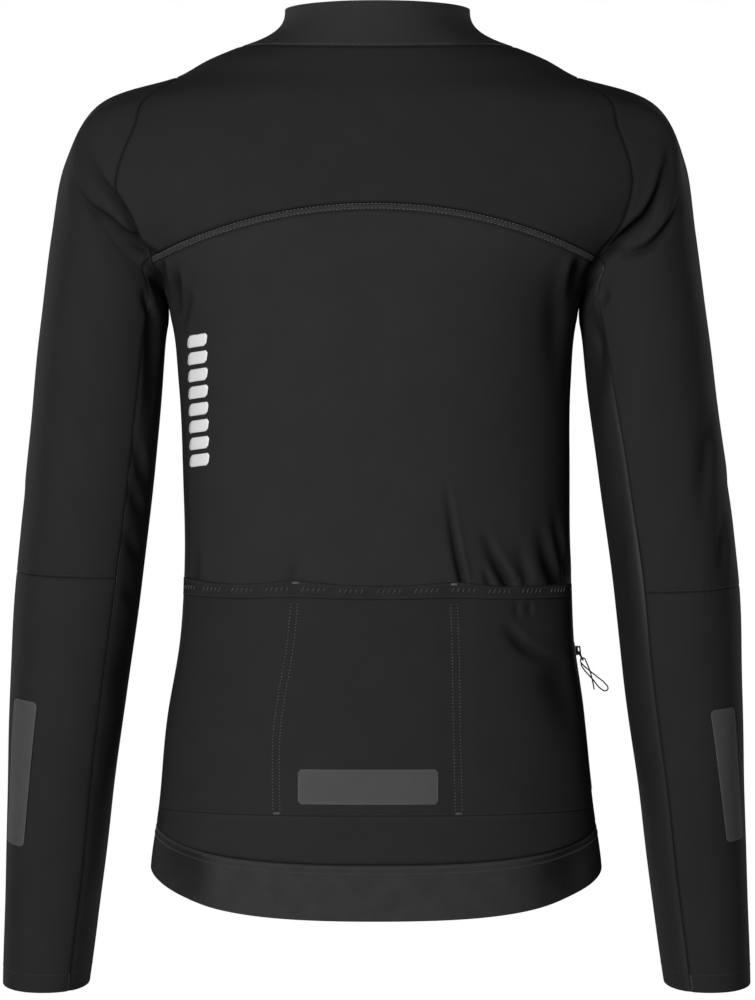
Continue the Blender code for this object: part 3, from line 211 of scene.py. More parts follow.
# Folds, in millimetres, seen from one of four sides: a trough along a path, deepest at a share of its
# length, with the cloth heaped up beside it: to the left of the path if ridge is positive.
# all, body, arm, under, pocket and hem say which cloth it lies in.
# Each fold's trough also darkens the cloth's colour there with painted shade.
Fold = namedtuple("Fold", "cloth view path depth width peak ridge")
FOLDS = [Fold(*row) for row in (
    ("all", "back", [(-221, -62), (-205, -99), (-185, -127), (-172, -151), (-163, -158)],
         5.5, 3.6, 0.80, 0.30),
    ("all", "back", [(-229, -92), (-212, -121), (-197, -132), (-184, -144), (-163, -159)],
         4.6, 3.4, 0.75, 0.30),
    ("arm", "back", [(-190, -146), (-171, -160)], 2.6, 2.4, 0.80, 0.25),
    ("all", "back", [(-167, -163), (-161, -177), (-155, -190)], 5.0, 4.0, 0.50, 0.25),
    ("body", "back", [(-159, -159), (-157, -171), (-155, -186)], 5.0, 2.8, 0.40, 0.30),
    ("body", "back", [(-148, -166), (-147, -182), (-150, -206)], 5.0, 3.2, 0.42, 0.35),
    ("body", "back", [(-138, -180), (-140, -192), (-147, -220)], 2.8, 4.0, 0.35, 0.30),
    ("arm", "back", [(-173, -178), (-170, -191), (-163, -210)], 3.0, 3.0, 0.40, 0.30),
    ("all", "back", [(217, -66), (211, -96), (205, -115), (196, -130), (187, -138), (171, -152)],
         5.5, 3.8, 0.75, -0.30),
    ("arm", "back", [(224, -100), (219, -127), (210, -141), (199, -151), (187, -155), (172, -153)],
         4.4, 3.4, 0.62, -0.30),
    ("all", "back", [(172, -153), (163, -164), (155, -178), (150, -196)], 5.0, 3.8, 0.40, 0.25),
    ("body", "back", [(149, -158), (145, -172), (143, -192)], 4.8, 4.6, 0.35, -0.40),
    ("body", "back", [(128, -165), (130, -200), (129, -260)], 2.0, 7.0, 0.40, 0.50),
    ("arm", "back", [(161, -196), (167, -190), (168, -180)], 2.4, 2.6, 0.50, 0.30),
    ("under", "back", [(155, -190), (160, -203), (164, -220), (165, -242), (167, -272)],
         3.8, 4.6, 0.42, -0.10),
    ("under", "back", [(158, -214), (160, -250), (163, -320)], 2.0, 5.0, 0.30, 0.30),
    ("under", "back", [(-171, -182), (-167, -212), (-166, -244), (-170, -292)], 4.0, 5.0, 0.40, 0.35),
    ("under", "back", [(-181, -288), (-175, -312), (-169, -338)], 2.8, 3.6, 0.45, 0.45),
    ("under", "back", [(-184, -324), (-177, -342), (-169, -358)], 2.6, 3.6, 0.45, 0.45),
    ("under", "back", [(-188, -358), (-180, -374), (-173, -390)], 2.2, 3.8, 0.50, 0.45),
    ("under", "back", [(-189, -398), (-182, -410), (-175, -424)], 1.8, 4.0, 0.50, 0.40),
    ("under", "back", [(-187, -440), (-191, -500)], 1.2, 6.0, 0.50, 0.40),
    ("under", "back", [(176, -320), (181, -388), (190, -474)], 1.4, 6.0, 0.50, 0.40),
    ("arm", "back", [(248, -255), (243, -300), (237, -352)], 1.9, 5.5, 0.55, 0.40),
    ("arm", "back", [(256, -332), (255, -402)], 1.8, 4.6, 0.50, 0.40),
    ("body", "back", [(48, -312), (54, -352), (59, -380), (64, -401)], 5.6, 2.7, 0.96, 0.25),
    ("body", "back", [(76, -384), (80, -394), (84, -401)], 3.0, 2.6, 0.90, 0.20),
    ("body", "back", [(74, -350), (84, -376), (98, -401)], 5.6, 4.2, 0.96, 0.25),
    ("body", "back", [(101, -362), (107, -384), (112, -400)], 2.4, 5.0, 0.90, 0.25),
    ("body", "back", [(116, -348), (125, -376), (136, -402)], 6.0, 5.4, 0.96, 0.30),
    ("body", "back", [(128, -336), (136, -372), (144, -400)], 5.4, 3.8, 0.96, 0.25),
    ("body", "back", [(-58, -374), (-63, -398)], 2.2, 3.4, 0.95, 0.30),
    ("body", "back", [(-134, -362), (-135, -398)], 2.4, 3.6, 0.95, 0.30),
    ("pocket", "back", [(89, -425), (97, -435), (107, -445), (119, -452), (136, -458)],
         4.8, 3.8, 0.45, 0.25),
    ("pocket", "back", [(122, -452), (134, -478), (141, -520)], 3.6, 11.5, 0.30, 0.04),
    ("pocket", "back", [(100, -412), (103, -424)], 1.8, 2.0, 0.40, 0.30),
    ("pocket", "back", [(110, -411), (112, -423)], 1.6, 2.2, 0.40, 0.30),
    ("all", "front", [(212, -72), (199, -104), (184, -130), (168, -153)], 4.6, 5.0, 0.78, -0.30),
    ("all", "front", [(-214, -68), (-203, -99), (-186, -127), (-169, -152)], 5.0, 4.8, 0.80, 0.30),
    ("arm", "front", [(227, -102), (214, -130), (196, -148), (174, -158)], 3.8, 4.4, 0.70, -0.30),
    ("arm", "front", [(-229, -97), (-215, -124), (-197, -143), (-173, -157)], 4.0, 4.4, 0.72, 0.30),
    ("body", "front", [(147, -160), (143, -183), (140, -216)], 3.8, 5.0, 0.40, 0.30),
    ("body", "front", [(-149, -158), (-144, -184), (-145, -212)], 4.0, 4.8, 0.40, -0.30),
    ("body", "front", [(128, -170), (122, -205), (118, -250)], 1.8, 8.0, 0.40, 0.40),
    ("body", "front", [(58, -350), (74, -386), (104, -420)], 2.4, 8.0, 0.55, 0.40),
    ("body", "front", [(-50, -362), (-70, -398), (-106, -426)], 2.6, 7.5, 0.50, 0.40),
    ("body", "front", [(96, -362), (114, -384), (136, -398)], 2.2, 7.0, 0.60, 0.40),
    ("body", "front", [(-92, -372), (-112, -388), (-136, -396)], 2.0, 7.0, 0.60, 0.40),
    ("all", "front", [(256, -346), (232, -362), (204, -358)], 3.2, 6.0, 0.50, 0.30),
    ("all", "front", [(262, -384), (240, -402), (210, -400)], 2.8, 6.5, 0.55, 0.30),
    ("all", "front", [(268, -428), (246, -440), (222, -434)], 2.0, 7.0, 0.50, 0.30),
    ("all", "front", [(-252, -338), (-230, -356), (-204, -354)], 3.0, 6.5, 0.55, 0.30),
    ("all", "front", [(-264, -390), (-240, -405), (-210, -398)], 3.0, 6.0, 0.50, 0.30),
    ("arm", "right", [(-30, -306), (-2, -342), (14, -388)], 1.8, 8.0, 0.50, 0.40),
    ("arm", "right", [(22, -120), (30, -150), (34, -190)], 1.8, 8.0, 0.45, 0.40),
    ("arm", "left", [(-26, -318), (2, -352), (16, -396)], 1.8, 8.0, 0.50, 0.40),
    ("arm", "left", [(24, -128), (32, -160), (33, -202)], 1.6, 8.0, 0.45, 0.40),
    ("hem", "back", [(-150, -540), (-140, -600), (-144, -660)], 4.0, 22.0, 0.50, 0.06),
    ("hem", "back", [(150, -540), (140, -600), (144, -660)], 4.6, 22.0, 0.50, 0.06),
)]


def rise(low, high, value):
    """0 below low, 1 above high, and a smooth rise between."""
    share = np.clip((value - low) / (high - low), 0, 1)
    return share * share * (3 - 2 * share)


def power(value, exponent):
    """value to that power with its sign kept, for superellipses."""
    return np.sign(value) * np.abs(value) ** exponent


def read(table, at):
    """The table's columns at values of its first column, on smooth curves through its rows."""
    rows = np.array(table, dtype=float)
    stops, values = rows[:, 0], rows[:, 1:]
    steps = np.diff(stops)[:, None]
    rises = np.diff(values, axis=0) / steps
    inner = (rises[:-1] * steps[1:] + rises[1:] * steps[:-1]) / (steps[1:] + steps[:-1])
    slopes = np.vstack([rises[:1], inner, rises[-1:]])
    at = np.asarray(at, dtype=float)
    k = np.clip(np.searchsorted(stops, at) - 1, 0, len(stops) - 2)
    step = steps[k]
    share = (at - stops[k])[..., None] / step
    two, three = share ** 2, share ** 3
    found = (values[k] * (2 * three - 3 * two + 1) + slopes[k] * step * (three - 2 * two + share)
             + values[k + 1] * (3 * two - 2 * three) + slopes[k + 1] * step * (three - two))
    return np.moveaxis(found, -1, 0)


def torso(turn, level):
    """Points of the torso: turn is 0 at the spine, a quarter turn at the wearer's right side."""
    turn, level = np.broadcast_arrays(np.asarray(turn, float), np.asarray(level, float))
    half_width, back, front, square = read(TORSO, level)
    across, backward = np.sin(turn), np.cos(turn)
    x = half_width * power(across, 2 / square)
    y = -np.where(backward > 0, back, front) * power(backward, 2 / square)
    neck_drop = FRONT_NECK_DROP * rise(FRONT_DROP_STARTS, NECK_LEVEL, level)
    back_dip = BACK_NECK_DIP * rise(BACK_DIP_STARTS, NECK_LEVEL, level)
    z = level - np.where(backward < 0, neck_drop, back_dip) * backward ** 2
    return np.stack([x, y, z], axis=-1)


def side_seam_turn(level):
    """The side seam leaves the armpit at the very side and swings towards the back."""
    share = rise(-0.300, ARMPIT_LEVEL, level)
    return SIDE_SEAM_TURN + (math.pi / 2 - SIDE_SEAM_TURN) * share


def armhole(angle):
    """(turn, level) on the right armhole.  0 is the shoulder ridge, a quarter turn the back."""
    middle, half = (ARMHOLE_TOP + ARMPIT_LEVEL) / 2, (ARMHOLE_TOP - ARMPIT_LEVEL) / 2
    level = middle + half * power(np.cos(angle), 2 / ARMHOLE_SQUARE)
    _, back, front, square = read(TORSO, level)
    backward = power(np.sin(angle), 2 / ARMHOLE_SQUARE)
    share = np.where(backward >= 0, backward * ARMHOLE_BACK / back, -backward * ARMHOLE_FRONT / front)
    turn = np.arccos(np.clip(share, 0, 1) ** (square / 2))
    return np.where(backward >= 0, turn, math.pi - turn), level


def arm_angles(start, end, shares):
    """Angles on the armhole at shares of the length of its edge from start to end."""
    angles = np.linspace(start, end, ARMHOLE_SAMPLES)
    along = lengths_along(torso(*armhole(angles)), 0)
    return np.interp(np.asarray(shares) * along[-1], along, angles)


def edged(values):
    """The values with two more close to each end, where the cloth turns in to its seam."""
    first, last = values[1] - values[0], values[-1] - values[-2]
    near = [values[0] + first * share for share in EDGE_STOPS]
    far = [values[-1] - last * share for share in EDGE_STOPS[::-1]]
    return np.concatenate([values[:1], near, values[1:-1], far, values[-1:]])


def back_row(end_turn, end_level, spine_level, arch, shares):
    """A row over the back that is an arch seen from behind.  shares run from -1 to 1."""
    reach = torso(end_turn, end_level)[0]
    turn = end_turn * shares
    level = np.full_like(turn, end_level)
    for _ in range(ARCH_ROUNDS):
        away = np.minimum(1, np.abs(torso(turn, level)[:, 0]) / reach)
        level = spine_level + (end_level - spine_level) * away ** arch
    level[[0, -1]] = end_level
    return torso(turn, level)


def swayed(points):
    points = points.copy()
    points[..., 0] += read(SWAY, points[..., 2])[0]
    return points


def mirrored(points):
    """The same grid on the other side of the body, with its outside still outside."""
    return points[:, ::-1] * np.array([-1, 1, 1])


def unit(vectors):
    return vectors / np.maximum(np.linalg.norm(vectors, axis=-1, keepdims=True), 1e-12)


def outward(points):
    """The outward direction at each point of a grid."""
    return unit(np.cross(np.gradient(points, axis=1), np.gradient(points, axis=0)))


def lengths_along(points, axis):
    """How far along its row or column each point of a grid lies."""
    steps = np.linalg.norm(np.diff(points, axis=axis), axis=-1)
    return np.insert(np.cumsum(steps, axis=axis), 0, 0, axis=axis)


def smooth_line(points, count):
    """A number of points on a smooth line through the points of a path."""
    points = np.array(points, dtype=float)
    along = lengths_along(points, 0)
    return read(np.column_stack([along, points]), np.linspace(0, along[-1], count)).T


def waviness(points):
    """Broad uneven swells of the cloth, from -1 to 1."""
    x, y, z = np.moveaxis(points, -1, 0)
    return (np.sin(41 * x + 17 * z + 0.7) + np.sin(63 * z - 29 * y + 2.1)
            + np.sin(88 * x - 37 * z + 4.0) + np.sin(117 * y + 71 * z + 1.3)) / 4


# A fold's cross-section, in its own widths: its two sides, and where and how wide its heap is.
STEEP_SIDE = 0.75
GENTLE_SIDE = 1.15
HEAP_PLACE = 1.5
HEAP_WIDTH = 0.9
FOLD_REACH = 4  # how many widths from its line a fold is felt
FOLD_SAMPLES = 33
FOLD_FADES = 1.10  # the share of its length at which a fold is gone
FACING = 2.5  # how soon a fold is at its full depth as the cloth turns to its view

DEEP_CREASE = 0.005  # as deep as this counts as a deep crease, and gets the full painted shade
PAINTED_SEAM_SHADE = 0.85  # how dark the painted shade in a seam's groove is, next to a deep crease
SEAM_SHADE_WIDTH = 0.0013
FLAT_SEAM = 0.5  # how much of a seam's groove and of its painted shade is left where it is pressed flat
TURN_IN = 0.0006  # how far the cloth dips at a seam
TURN_IN_WIDTH = 0.0018
PUCKER = 0.00012  # the height of the ripples beside a seam
PUCKER_TURNS = (780, 120, 47)  # radians a metre of the ripples, of their wander and of their strength
PUCKER_FADES = 0.005
SWELL = 0.0005  # of the broad uneven swells
STIFF_SWELL = 0.0003  # of the collar and the hem


def folded(points, normals, cloths):
    """How far the folds push each point out."""
    pushed = np.zeros(points.shape[:-1])
    views = {"back": (0, -normals[..., 1]), "front": (0, normals[..., 1]),
             "right": (1, normals[..., 0]), "left": (1, -normals[..., 0])}
    outer = {"right": points[..., 0] > 0, "left": points[..., 0] < 0}
    for fold in FOLDS:
        if fold.cloth not in cloths:
            continue
        column, facing = views[fold.view]
        place = np.stack([points[..., column], points[..., 2]], axis=-1) * 1000
        line = smooth_line(fold.path, FOLD_SAMPLES)
        reach = FOLD_REACH * fold.width
        near = np.all((place > line.min(axis=0) - reach) & (place < line.max(axis=0) + reach), axis=-1)
        near &= (facing > 0) & outer.get(fold.view, True)
        if not near.any():
            continue
        here = place[near]
        best = np.full(len(here), 1e9)
        along, away = np.zeros(len(here)), np.zeros(len(here))
        last = len(line) - 2
        for k in range(last + 1):
            step = line[k + 1] - line[k]
            part = ((here - line[k]) @ step) / (step @ step)
            part = np.clip(part, -1e9 if k == 0 else 0, 1e9 if k == last else 1)
            gap = here - line[k] - part[:, None] * step
            far = np.linalg.norm(gap, axis=1)
            closer = far < best
            best[closer] = far[closer]
            along[closer] = ((k + part) / (last + 1))[closer]
            away[closer] = ((step[0] * gap[:, 1] - step[1] * gap[:, 0]) / np.linalg.norm(step))[closer]
        fade = rise(0, fold.peak, along) * (1 - rise(fold.peak, FOLD_FADES, along))
        across = away / fold.width * np.sign(fold.ridge)
        trough = -np.exp(-(across / np.where(across > 0, STEEP_SIDE, GENTLE_SIDE)) ** 2)
        heap = abs(fold.ridge) * np.exp(-((across - HEAP_PLACE) / HEAP_WIDTH) ** 2)
        pushed[near] += fold.depth * 0.001 * (trough + heap) * fade * np.clip(FACING * facing[near], 0, 1)
    return pushed


# The third field of a cloth is a mask of painted shade in its fold troughs and seam grooves; a film strip
# carries its paler rim in it instead.
Cloth = namedtuple("Cloth", "points normals crease")


def worn(points, cloths, seams, swell=SWELL, normals=None, most=None, flat=""):
    """The grid as cloth: with swells and folds, turned in and puckered along its seams, with a mask of
    painted shade in its folds and seams.

    seams names the grid's edges that are sewn: bottom, top, left and right; flat is the one pressed
    flat.  most is how far the folds may push each point out.
    """
    normals = outward(points) if normals is None else normals
    across, up = lengths_along(points, 1), lengths_along(points, 0)
    edges = {"bottom": (up, across), "top": (up[-1:] - up, across),
             "left": (across, up), "right": (across[:, -1:] - across, up)}
    folds = folded(points, normals, cloths)
    if most is not None:
        folds = np.minimum(folds, most)
    push = swell * waviness(points) + folds
    # painted shade in the troughs of the folds
    crease = np.clip(-folds / DEEP_CREASE, 0, 1)
    for name in seams:
        away, along = edges[name]
        turned_in = FLAT_SEAM if name == flat else 1.0
        # painted shade along the seam's groove
        crease = np.maximum(crease, turned_in * PAINTED_SEAM_SHADE * np.exp(-(away / SEAM_SHADE_WIDTH) ** 2))
        push = push - turned_in * TURN_IN * np.exp(-(away / TURN_IN_WIDTH) ** 2)
        ripples, wander, strength = (along * turns for turns in PUCKER_TURNS)
        ripple = np.sin(ripples + 2.0 * np.sin(wander)) * (0.6 + 0.4 * np.sin(strength))
        push = push + PUCKER * ripple * np.exp(-away / PUCKER_FADES)
    return Cloth(points + normals * push[..., None], normals, crease)


def cut_size(points):
    """The panel's flat width, length and area."""
    width = lengths_along(points, 1)[:, -1].max()
    length = lengths_along(points, 0)[-1].max()
    corner = np.cross(points[1:, 1:] - points[:-1, :-1], points[1:, :-1] - points[:-1, 1:])
    area = np.linalg.norm(corner, axis=-1).sum() / 2
    return (float(width), float(length)), float(min(area, width * length))


def add_mesh(name, points, faces, material, uv=None):
    mesh = bpy.data.meshes.new(name)
    mesh.from_pydata(points.tolist(), [], faces)
    mesh.shade_smooth()
    if uv is not None:
        layer = mesh.uv_layers.new(name="cloth")
        corners = np.zeros(len(mesh.loops), dtype=int)
        mesh.loops.foreach_get("vertex_index", corners)
        layer.data.foreach_set("uv", uv[corners].ravel())
    mesh.materials.append(material)
    piece = bpy.data.objects.new(name, mesh)
    bpy.context.scene.collection.objects.link(piece)
    return piece


ROUNDING = 0.3  # how far an edge bulges out, as a share of the cloth's thickness
MOST_ROUNDING = 0.00025


def shell(name, cloth, thick, material, out=0.0, inset=SEAM_GAP / 2, lining=None):
    """A closed shell of cloth with rounded edges: its outside lies out from the grid."""
    points = cloth.points + cloth.normals * out
    rows, columns = points.shape[:2]
    for axis, last in ((0, rows - 1), (1, columns - 1)):
        moved = np.swapaxes(points, 0, axis)
        moved[0] += unit(moved[1] - moved[0]) * inset
        moved[last] += unit(moved[last - 1] - moved[last]) * inset
    inside = points - cloth.normals * thick
    number = np.arange(rows * columns).reshape(rows, columns)
    quads = np.stack([number[:-1, :-1], number[:-1, 1:], number[1:, 1:], number[1:, :-1]], -1).reshape(-1, 4)
    rim = np.concatenate([number[0], number[1:, -1], number[-1, -2::-1], number[-2:0:-1, 0]])
    count = rows * columns
    flat, flat_in = points.reshape(-1, 3), inside.reshape(-1, 3)
    middle = (flat[rim] + flat_in[rim]) / 2
    along = np.roll(middle, -1, axis=0) - np.roll(middle, 1, axis=0)
    away = unit(np.cross(along, cloth.normals.reshape(-1, 3)[rim]))
    middle = middle + away * min(thick * ROUNDING, MOST_ROUNDING)
    ring = 2 * count + np.arange(len(rim))
    after, ring_after = np.roll(rim, -1), np.roll(ring, -1)
    faces = quads.tolist() + (quads[:, ::-1] + count).tolist()
    faces += np.stack([after, rim, ring, ring_after], -1).tolist()
    faces += np.stack([ring_after, ring, rim + count, after + count], -1).tolist()
    across, up = lengths_along(cloth.points, 1), lengths_along(cloth.points, 0)
    across = across - across[:, columns // 2:columns // 2 + 1]
    uv = np.stack([across, up], axis=-1).reshape(-1, 2)
    piece = add_mesh(name, np.vstack([flat, flat_in, middle]), faces, material, np.vstack([uv, uv, uv[rim]]))
    # The mask of painted shade in folds and seams (on a film strip, its paler rim) goes onto the mesh for the
    # material.
    depth = cloth.crease.ravel()
    layer = piece.data.attributes.new("crease", "FLOAT", "POINT")
    layer.data.foreach_set("value", np.concatenate([depth, np.zeros(count), depth[rim]]).astype(np.float32))
    if lining is not None:
        piece.data.materials.append(lining)
        inner = np.zeros(len(faces), dtype=int)
        inner[len(quads):2 * len(quads)] = 1
        piece.data.polygons.foreach_set("material_index", inner)
    return piece


def put_on(piece, node, cut):
    """The piece rides on the jacket in place of a panel, whose own part is hidden."""
    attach(piece, "jacket")
    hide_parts(node)


def new_group(name, inputs, outputs):
    """An empty node group with its sockets; the inputs carry their default values."""
    group = bpy.data.node_groups.new(name, "ShaderNodeTree")
    for label, kind, value in inputs:
        socket = group.interface.new_socket(label, in_out="INPUT", socket_type=kind)
        if value is not None:
            socket.default_value = value
    for label, kind in outputs:
        group.interface.new_socket(label, in_out="OUTPUT", socket_type=kind)
    start, end = group.nodes.new("NodeGroupInput"), group.nodes.new("NodeGroupOutput")
    return group, start, end


class Wiring:
    """Short calls for adding nodes to one tree and linking them."""

    def __init__(self, tree):
        self.tree = tree

    def link(self, source, target):
        self.tree.links.new(source, target)

    def node(self, kind, **settings):
        node = self.tree.nodes.new(kind)
        for name, value in settings.items():
            setattr(node, name, value)
        return node

    def fill(self, socket, value):
        """Gives a socket a number, or a link from another socket."""
        if isinstance(value, (int, float)):
            socket.default_value = value
        else:
            self.link(value, socket)

    def math(self, operation, first, second=0.0):
        """A number from one or two numbers or sockets."""
        node = self.node("ShaderNodeMath", operation=operation)
        self.fill(node.inputs[0], first)
        self.fill(node.inputs[1], second)
        return node.outputs[0]

    def noise(self, place, scale, detail=2.0):
        node = self.node("ShaderNodeTexNoise")
        node.inputs["Scale"].default_value = scale
        node.inputs["Detail"].default_value = detail
        self.link(place, node.inputs["Vector"])
        return node.outputs["Fac"]

    def mixed(self, share, first, second):
        """Two noises or masks mixed: a share of the second."""
        return self.math("ADD", self.math("MULTIPLY", first, 1 - share), self.math("MULTIPLY", second, share))

    def shade(self, share, dark, light):
        """A colour from dark to light, by a share.  Either may be a link from another colour."""
        node = self.node("ShaderNodeMix", data_type="RGBA")
        for label, colour in (("A", dark), ("B", light)):
            if isinstance(colour, tuple):
                node.inputs[label].default_value = (*colour, 1)
            else:
                self.link(colour, node.inputs[label])
        self.link(share, node.inputs["Factor"])
        return node.outputs["Result"]

    def relief(self, height, distance):
        """A normal for a surface that a height raises by up to a distance."""
        node = self.node("ShaderNodeBump")
        node.inputs["Distance"].default_value = distance
        self.link(height, node.inputs["Height"])
        return node.outputs["Normal"]

    def group(self, group, **values):
        node = self.node("ShaderNodeGroup", node_tree=group)
        for label, value in values.items():
            self.fill(node.inputs[label], value)
        return node


def new_material(name, roughness=0.5, gloss=0.5):
    """A material, its Principled shader and the wiring of its nodes."""
    material = bpy.data.materials.new(name)
    material.use_nodes = True
    shader = material.node_tree.nodes["Principled BSDF"]
    shader.inputs["Roughness"].default_value = roughness
    shader.inputs["Specular IOR Level"].default_value = gloss
    return material, shader, Wiring(material.node_tree)


def grey(value):
    return (value, value, value)


def new_weave(name):
    """A group on a map in metres: its wiring, map and end, and the map counted in threads."""
    inputs = [("Map", "NodeSocketVector", None), ("Threads", "NodeSocketFloat", 1500.0)]
    group, start, end = new_group(name, inputs, [("Height", "NodeSocketFloat"), ("Shade", "NodeSocketFloat")])
    w = Wiring(group)
    split = w.node("ShaderNodeSeparateXYZ")
    w.link(start.outputs["Map"], split.inputs[0])
    u, v = (w.math("MULTIPLY", split.outputs[k], start.outputs["Threads"]) for k in (0, 1))
    return w, start.outputs["Map"], end, u, v


def make_twill():
    """Twill weave: fine slanted ribs crossed by the weft, with uneven threads."""
    w, place, end, u, v = new_weave("twill_weave")
    wander = w.math("MULTIPLY", w.noise(place, scale=260), 3.0)
    rib = w.math("SINE", w.math("ADD", w.math("MULTIPLY", w.math("ADD", u, v), math.pi), wander))
    weft = w.math("SINE", w.math("MULTIPLY", v, 2 * math.pi))
    height = w.math("ADD", w.math("MULTIPLY", rib, 0.35), w.math("MULTIPLY", weft, 0.15))
    w.link(w.math("ADD", height, 0.5), end.inputs["Height"])
    cloud, speck = w.noise(place, scale=34, detail=3), w.noise(place, scale=900, detail=1)
    w.link(w.mixed(0.5, cloud, speck), end.inputs["Shade"])
    return w.tree


TWILL = make_twill()
PAINTED_CREASE_SHADE = 0.75  # how much of its own colour a deep crease loses to painted shade
# the colour of the painted shadow in creases and seam grooves
PAINTED_SHADOW_COLOUR = grey(0.003)


def cloth_material(name, dark, light, roughness, threads, relief, gloss, weave=TWILL):
    """A cloth: its shade runs from dark to light by the weave's cloudiness, with painted shade making it
    darker in creases and seam grooves.
    """
    material, shader, w = new_material(name, roughness, gloss)
    place = w.node("ShaderNodeUVMap", uv_map="cloth").outputs[0]
    woven = w.group(weave, Map=place, Threads=threads)
    # the mask of painted shade in creases and seam grooves
    creased = w.node("ShaderNodeAttribute", attribute_name="crease").outputs["Fac"]
    plain_shade = w.shade(woven.outputs["Shade"], dark, light)
    w.link(w.shade(w.math("MULTIPLY", creased, PAINTED_CREASE_SHADE), plain_shade, PAINTED_SHADOW_COLOUR),
           shader.inputs["Base Color"])
    w.link(w.relief(woven.outputs["Height"], relief), shader.inputs["Normal"])
    return material


SOFTSHELL = cloth_material("softshell_outside", (0.0150, 0.0150, 0.0153), (0.0245, 0.0245, 0.0250),
                           roughness=0.85, threads=1500, relief=0.00005, gloss=0.12)
# A lighter copy of the same softshell for the lower back: painted light.
PAINTED_LIGHTER_SOFTSHELL = cloth_material("softshell_lower_back_painted_lighter", (0.018, 0.018, 0.0183), (0.029, 0.029, 0.0295),
                                roughness=0.85, threads=1500, relief=0.00005, gloss=0.12)
BRUSHED = cloth_material("softshell_brushed_inside", grey(0.018), grey(0.036),
                         roughness=0.95, threads=500, relief=0.0002, gloss=0.05)


SPACING_SAMPLES = 4000


def spaced(start, end, coarse, *fine):
    """Stops from start to end, a coarse step apart and closer inside each fine (low, high, step)."""
    samples = np.linspace(start, end, SPACING_SAMPLES)
    step = np.full(len(samples), float(coarse))
    for low, high, closer in fine:
        step[(samples > low) & (samples < high)] = closer
    count = np.insert(np.cumsum(np.diff(samples) / step[1:]), 0, 0)
    return np.interp(np.linspace(0, count[-1], round(count[-1]) + 1), count, samples)


# The grid's columns over the back, from one side seam to the other, and its rows.
BACK_SHARES = edged(spaced(-1, 1, 0.0160, (-1, -0.58, 0.0115), (0.20, 1, 0.0090)))
PLAIN_TOP = -0.235  # above it the rows bend towards the armpit
CREASED_TOP = -0.318  # the creases over the pockets' mouth end below it
PLAIN_LEVELS = np.concatenate([
    spaced(POCKET_BOTTOM, BINDING_BOTTOM, CELL)[:-1],
    spaced(BINDING_BOTTOM, POCKET_TOP, FINE_CELL)[:-1],
    spaced(POCKET_TOP, PLAIN_TOP, CELL, (POCKET_TOP, CREASED_TOP, FINE_CELL)),
])
HEM_SHARES = edged(np.linspace(0, 1, 8))[:-1]
ARMPIT_ROWS = 24  # between the last plain level and the armpit

FREE_OF_POCKET = (POCKET_TOP + 0.002, POCKET_TOP + 0.012)  # under the pocket no fold stands out
GROOVE_PLACE = 0.0058  # below the yoke's seam, where the cover stitch pulls the cloth in
GROOVE_WIDTH = 0.0009
GROOVE_DEPTH = 0.0004
# painted shade in the cover stitch's groove
PAINTED_GROOVE_SHADE = 0.7
BELOW_POCKET_WIDTH = 0.004
PAINTED_SHADE_UNDER_POCKET = 0.22  # painted shadow: the cloth under the pockets' lower edge is painted a little darker


def hem_level(turn, level, tilt, lift):
    """The level of a line round the hem: lower at the back, and drawn up at the sides."""
    return level + tilt * torso(turn, level)[..., 1] + lift * np.sin(turn) ** 4


def hem_seam(turn, share=0.0):
    """The seam of the hem band, or a share of the way up from it to the pockets' lower edge."""
    level = HEM_SEAM_LEVEL + (POCKET_BOTTOM - HEM_SEAM_LEVEL) * share
    return torso(turn, hem_level(turn, level, HEM_SEAM_TILT * (1 - share), HEM_SEAM_LIFT * (1 - share)))


def lower_back_grid():
    """The plain lower back, row by row from the hem's seam up to the yoke's."""
    rows = [hem_seam(SIDE_SEAM_TURN * BACK_SHARES, share) for share in HEM_SHARES]
    for level in PLAIN_LEVELS:
        rows.append(back_row(side_seam_turn(level), level, level, YOKE_ARCH, BACK_SHARES))
    for share in np.linspace(0, 1, ARMPIT_ROWS)[1:]:
        level = PLAIN_LEVELS[-1] + (ARMPIT_LEVEL - PLAIN_LEVELS[-1]) * share
        spine = PLAIN_LEVELS[-1] + (ARMPIT_DIPS[0].spine_level - PLAIN_LEVELS[-1]) * share
        arch = YOKE_ARCH + (ARMPIT_DIPS[0].arch - YOKE_ARCH) * share
        rows.append(back_row(side_seam_turn(level), level, spine, arch, BACK_SHARES))
    steps = edged(spaced(0, 1, 0.026, (0.90, 1, 0.0095)))[1:]
    dip_steps, spine_levels, arches = zip(*ARMPIT_DIPS)
    for share, angle in zip(steps, arm_angles(math.pi, UNDERARM, steps)):
        turn, level = armhole(angle)
        step = dip_steps[-1] * share
        spine, arch = np.interp(step, dip_steps, spine_levels), np.interp(step, dip_steps, arches)
        rows.append(back_row(turn, level, spine, arch, BACK_SHARES))
    return swayed(np.array(rows))


BACK_PLAIN = plain = lower_back_grid()
above_pocket = rise(*FREE_OF_POCKET, plain[..., 2])
LOWER_BACK = worn(plain, ("all", "body", "pocket"), ("bottom", "top", "left", "right"), most=above_pocket)
up = lengths_along(plain, 0)
groove = np.exp(-((up[-1:] - up - GROOVE_PLACE) / GROOVE_WIDTH) ** 2)
under_pocket_shadow = np.clip((POCKET_BOTTOM - plain[..., 2]) / BELOW_POCKET_WIDTH, 0, 1)
LOWER_BACK.points[...] -= LOWER_BACK.normals * (groove * GROOVE_DEPTH)[..., None]
# Painted shade: darker colour in the cover stitch's groove and under the pockets' lower edge.
for shade in (groove * PAINTED_GROOVE_SHADE, under_pocket_shadow * PAINTED_SHADE_UNDER_POCKET):
    LOWER_BACK.crease[...] = np.maximum(LOWER_BACK.crease, shade)
piece = shell("back_lower_cloth", LOWER_BACK, SHELL, PAINTED_LIGHTER_SOFTSHELL, lining=BRUSHED)
put_on(piece, "back_lower", cut_size(plain))

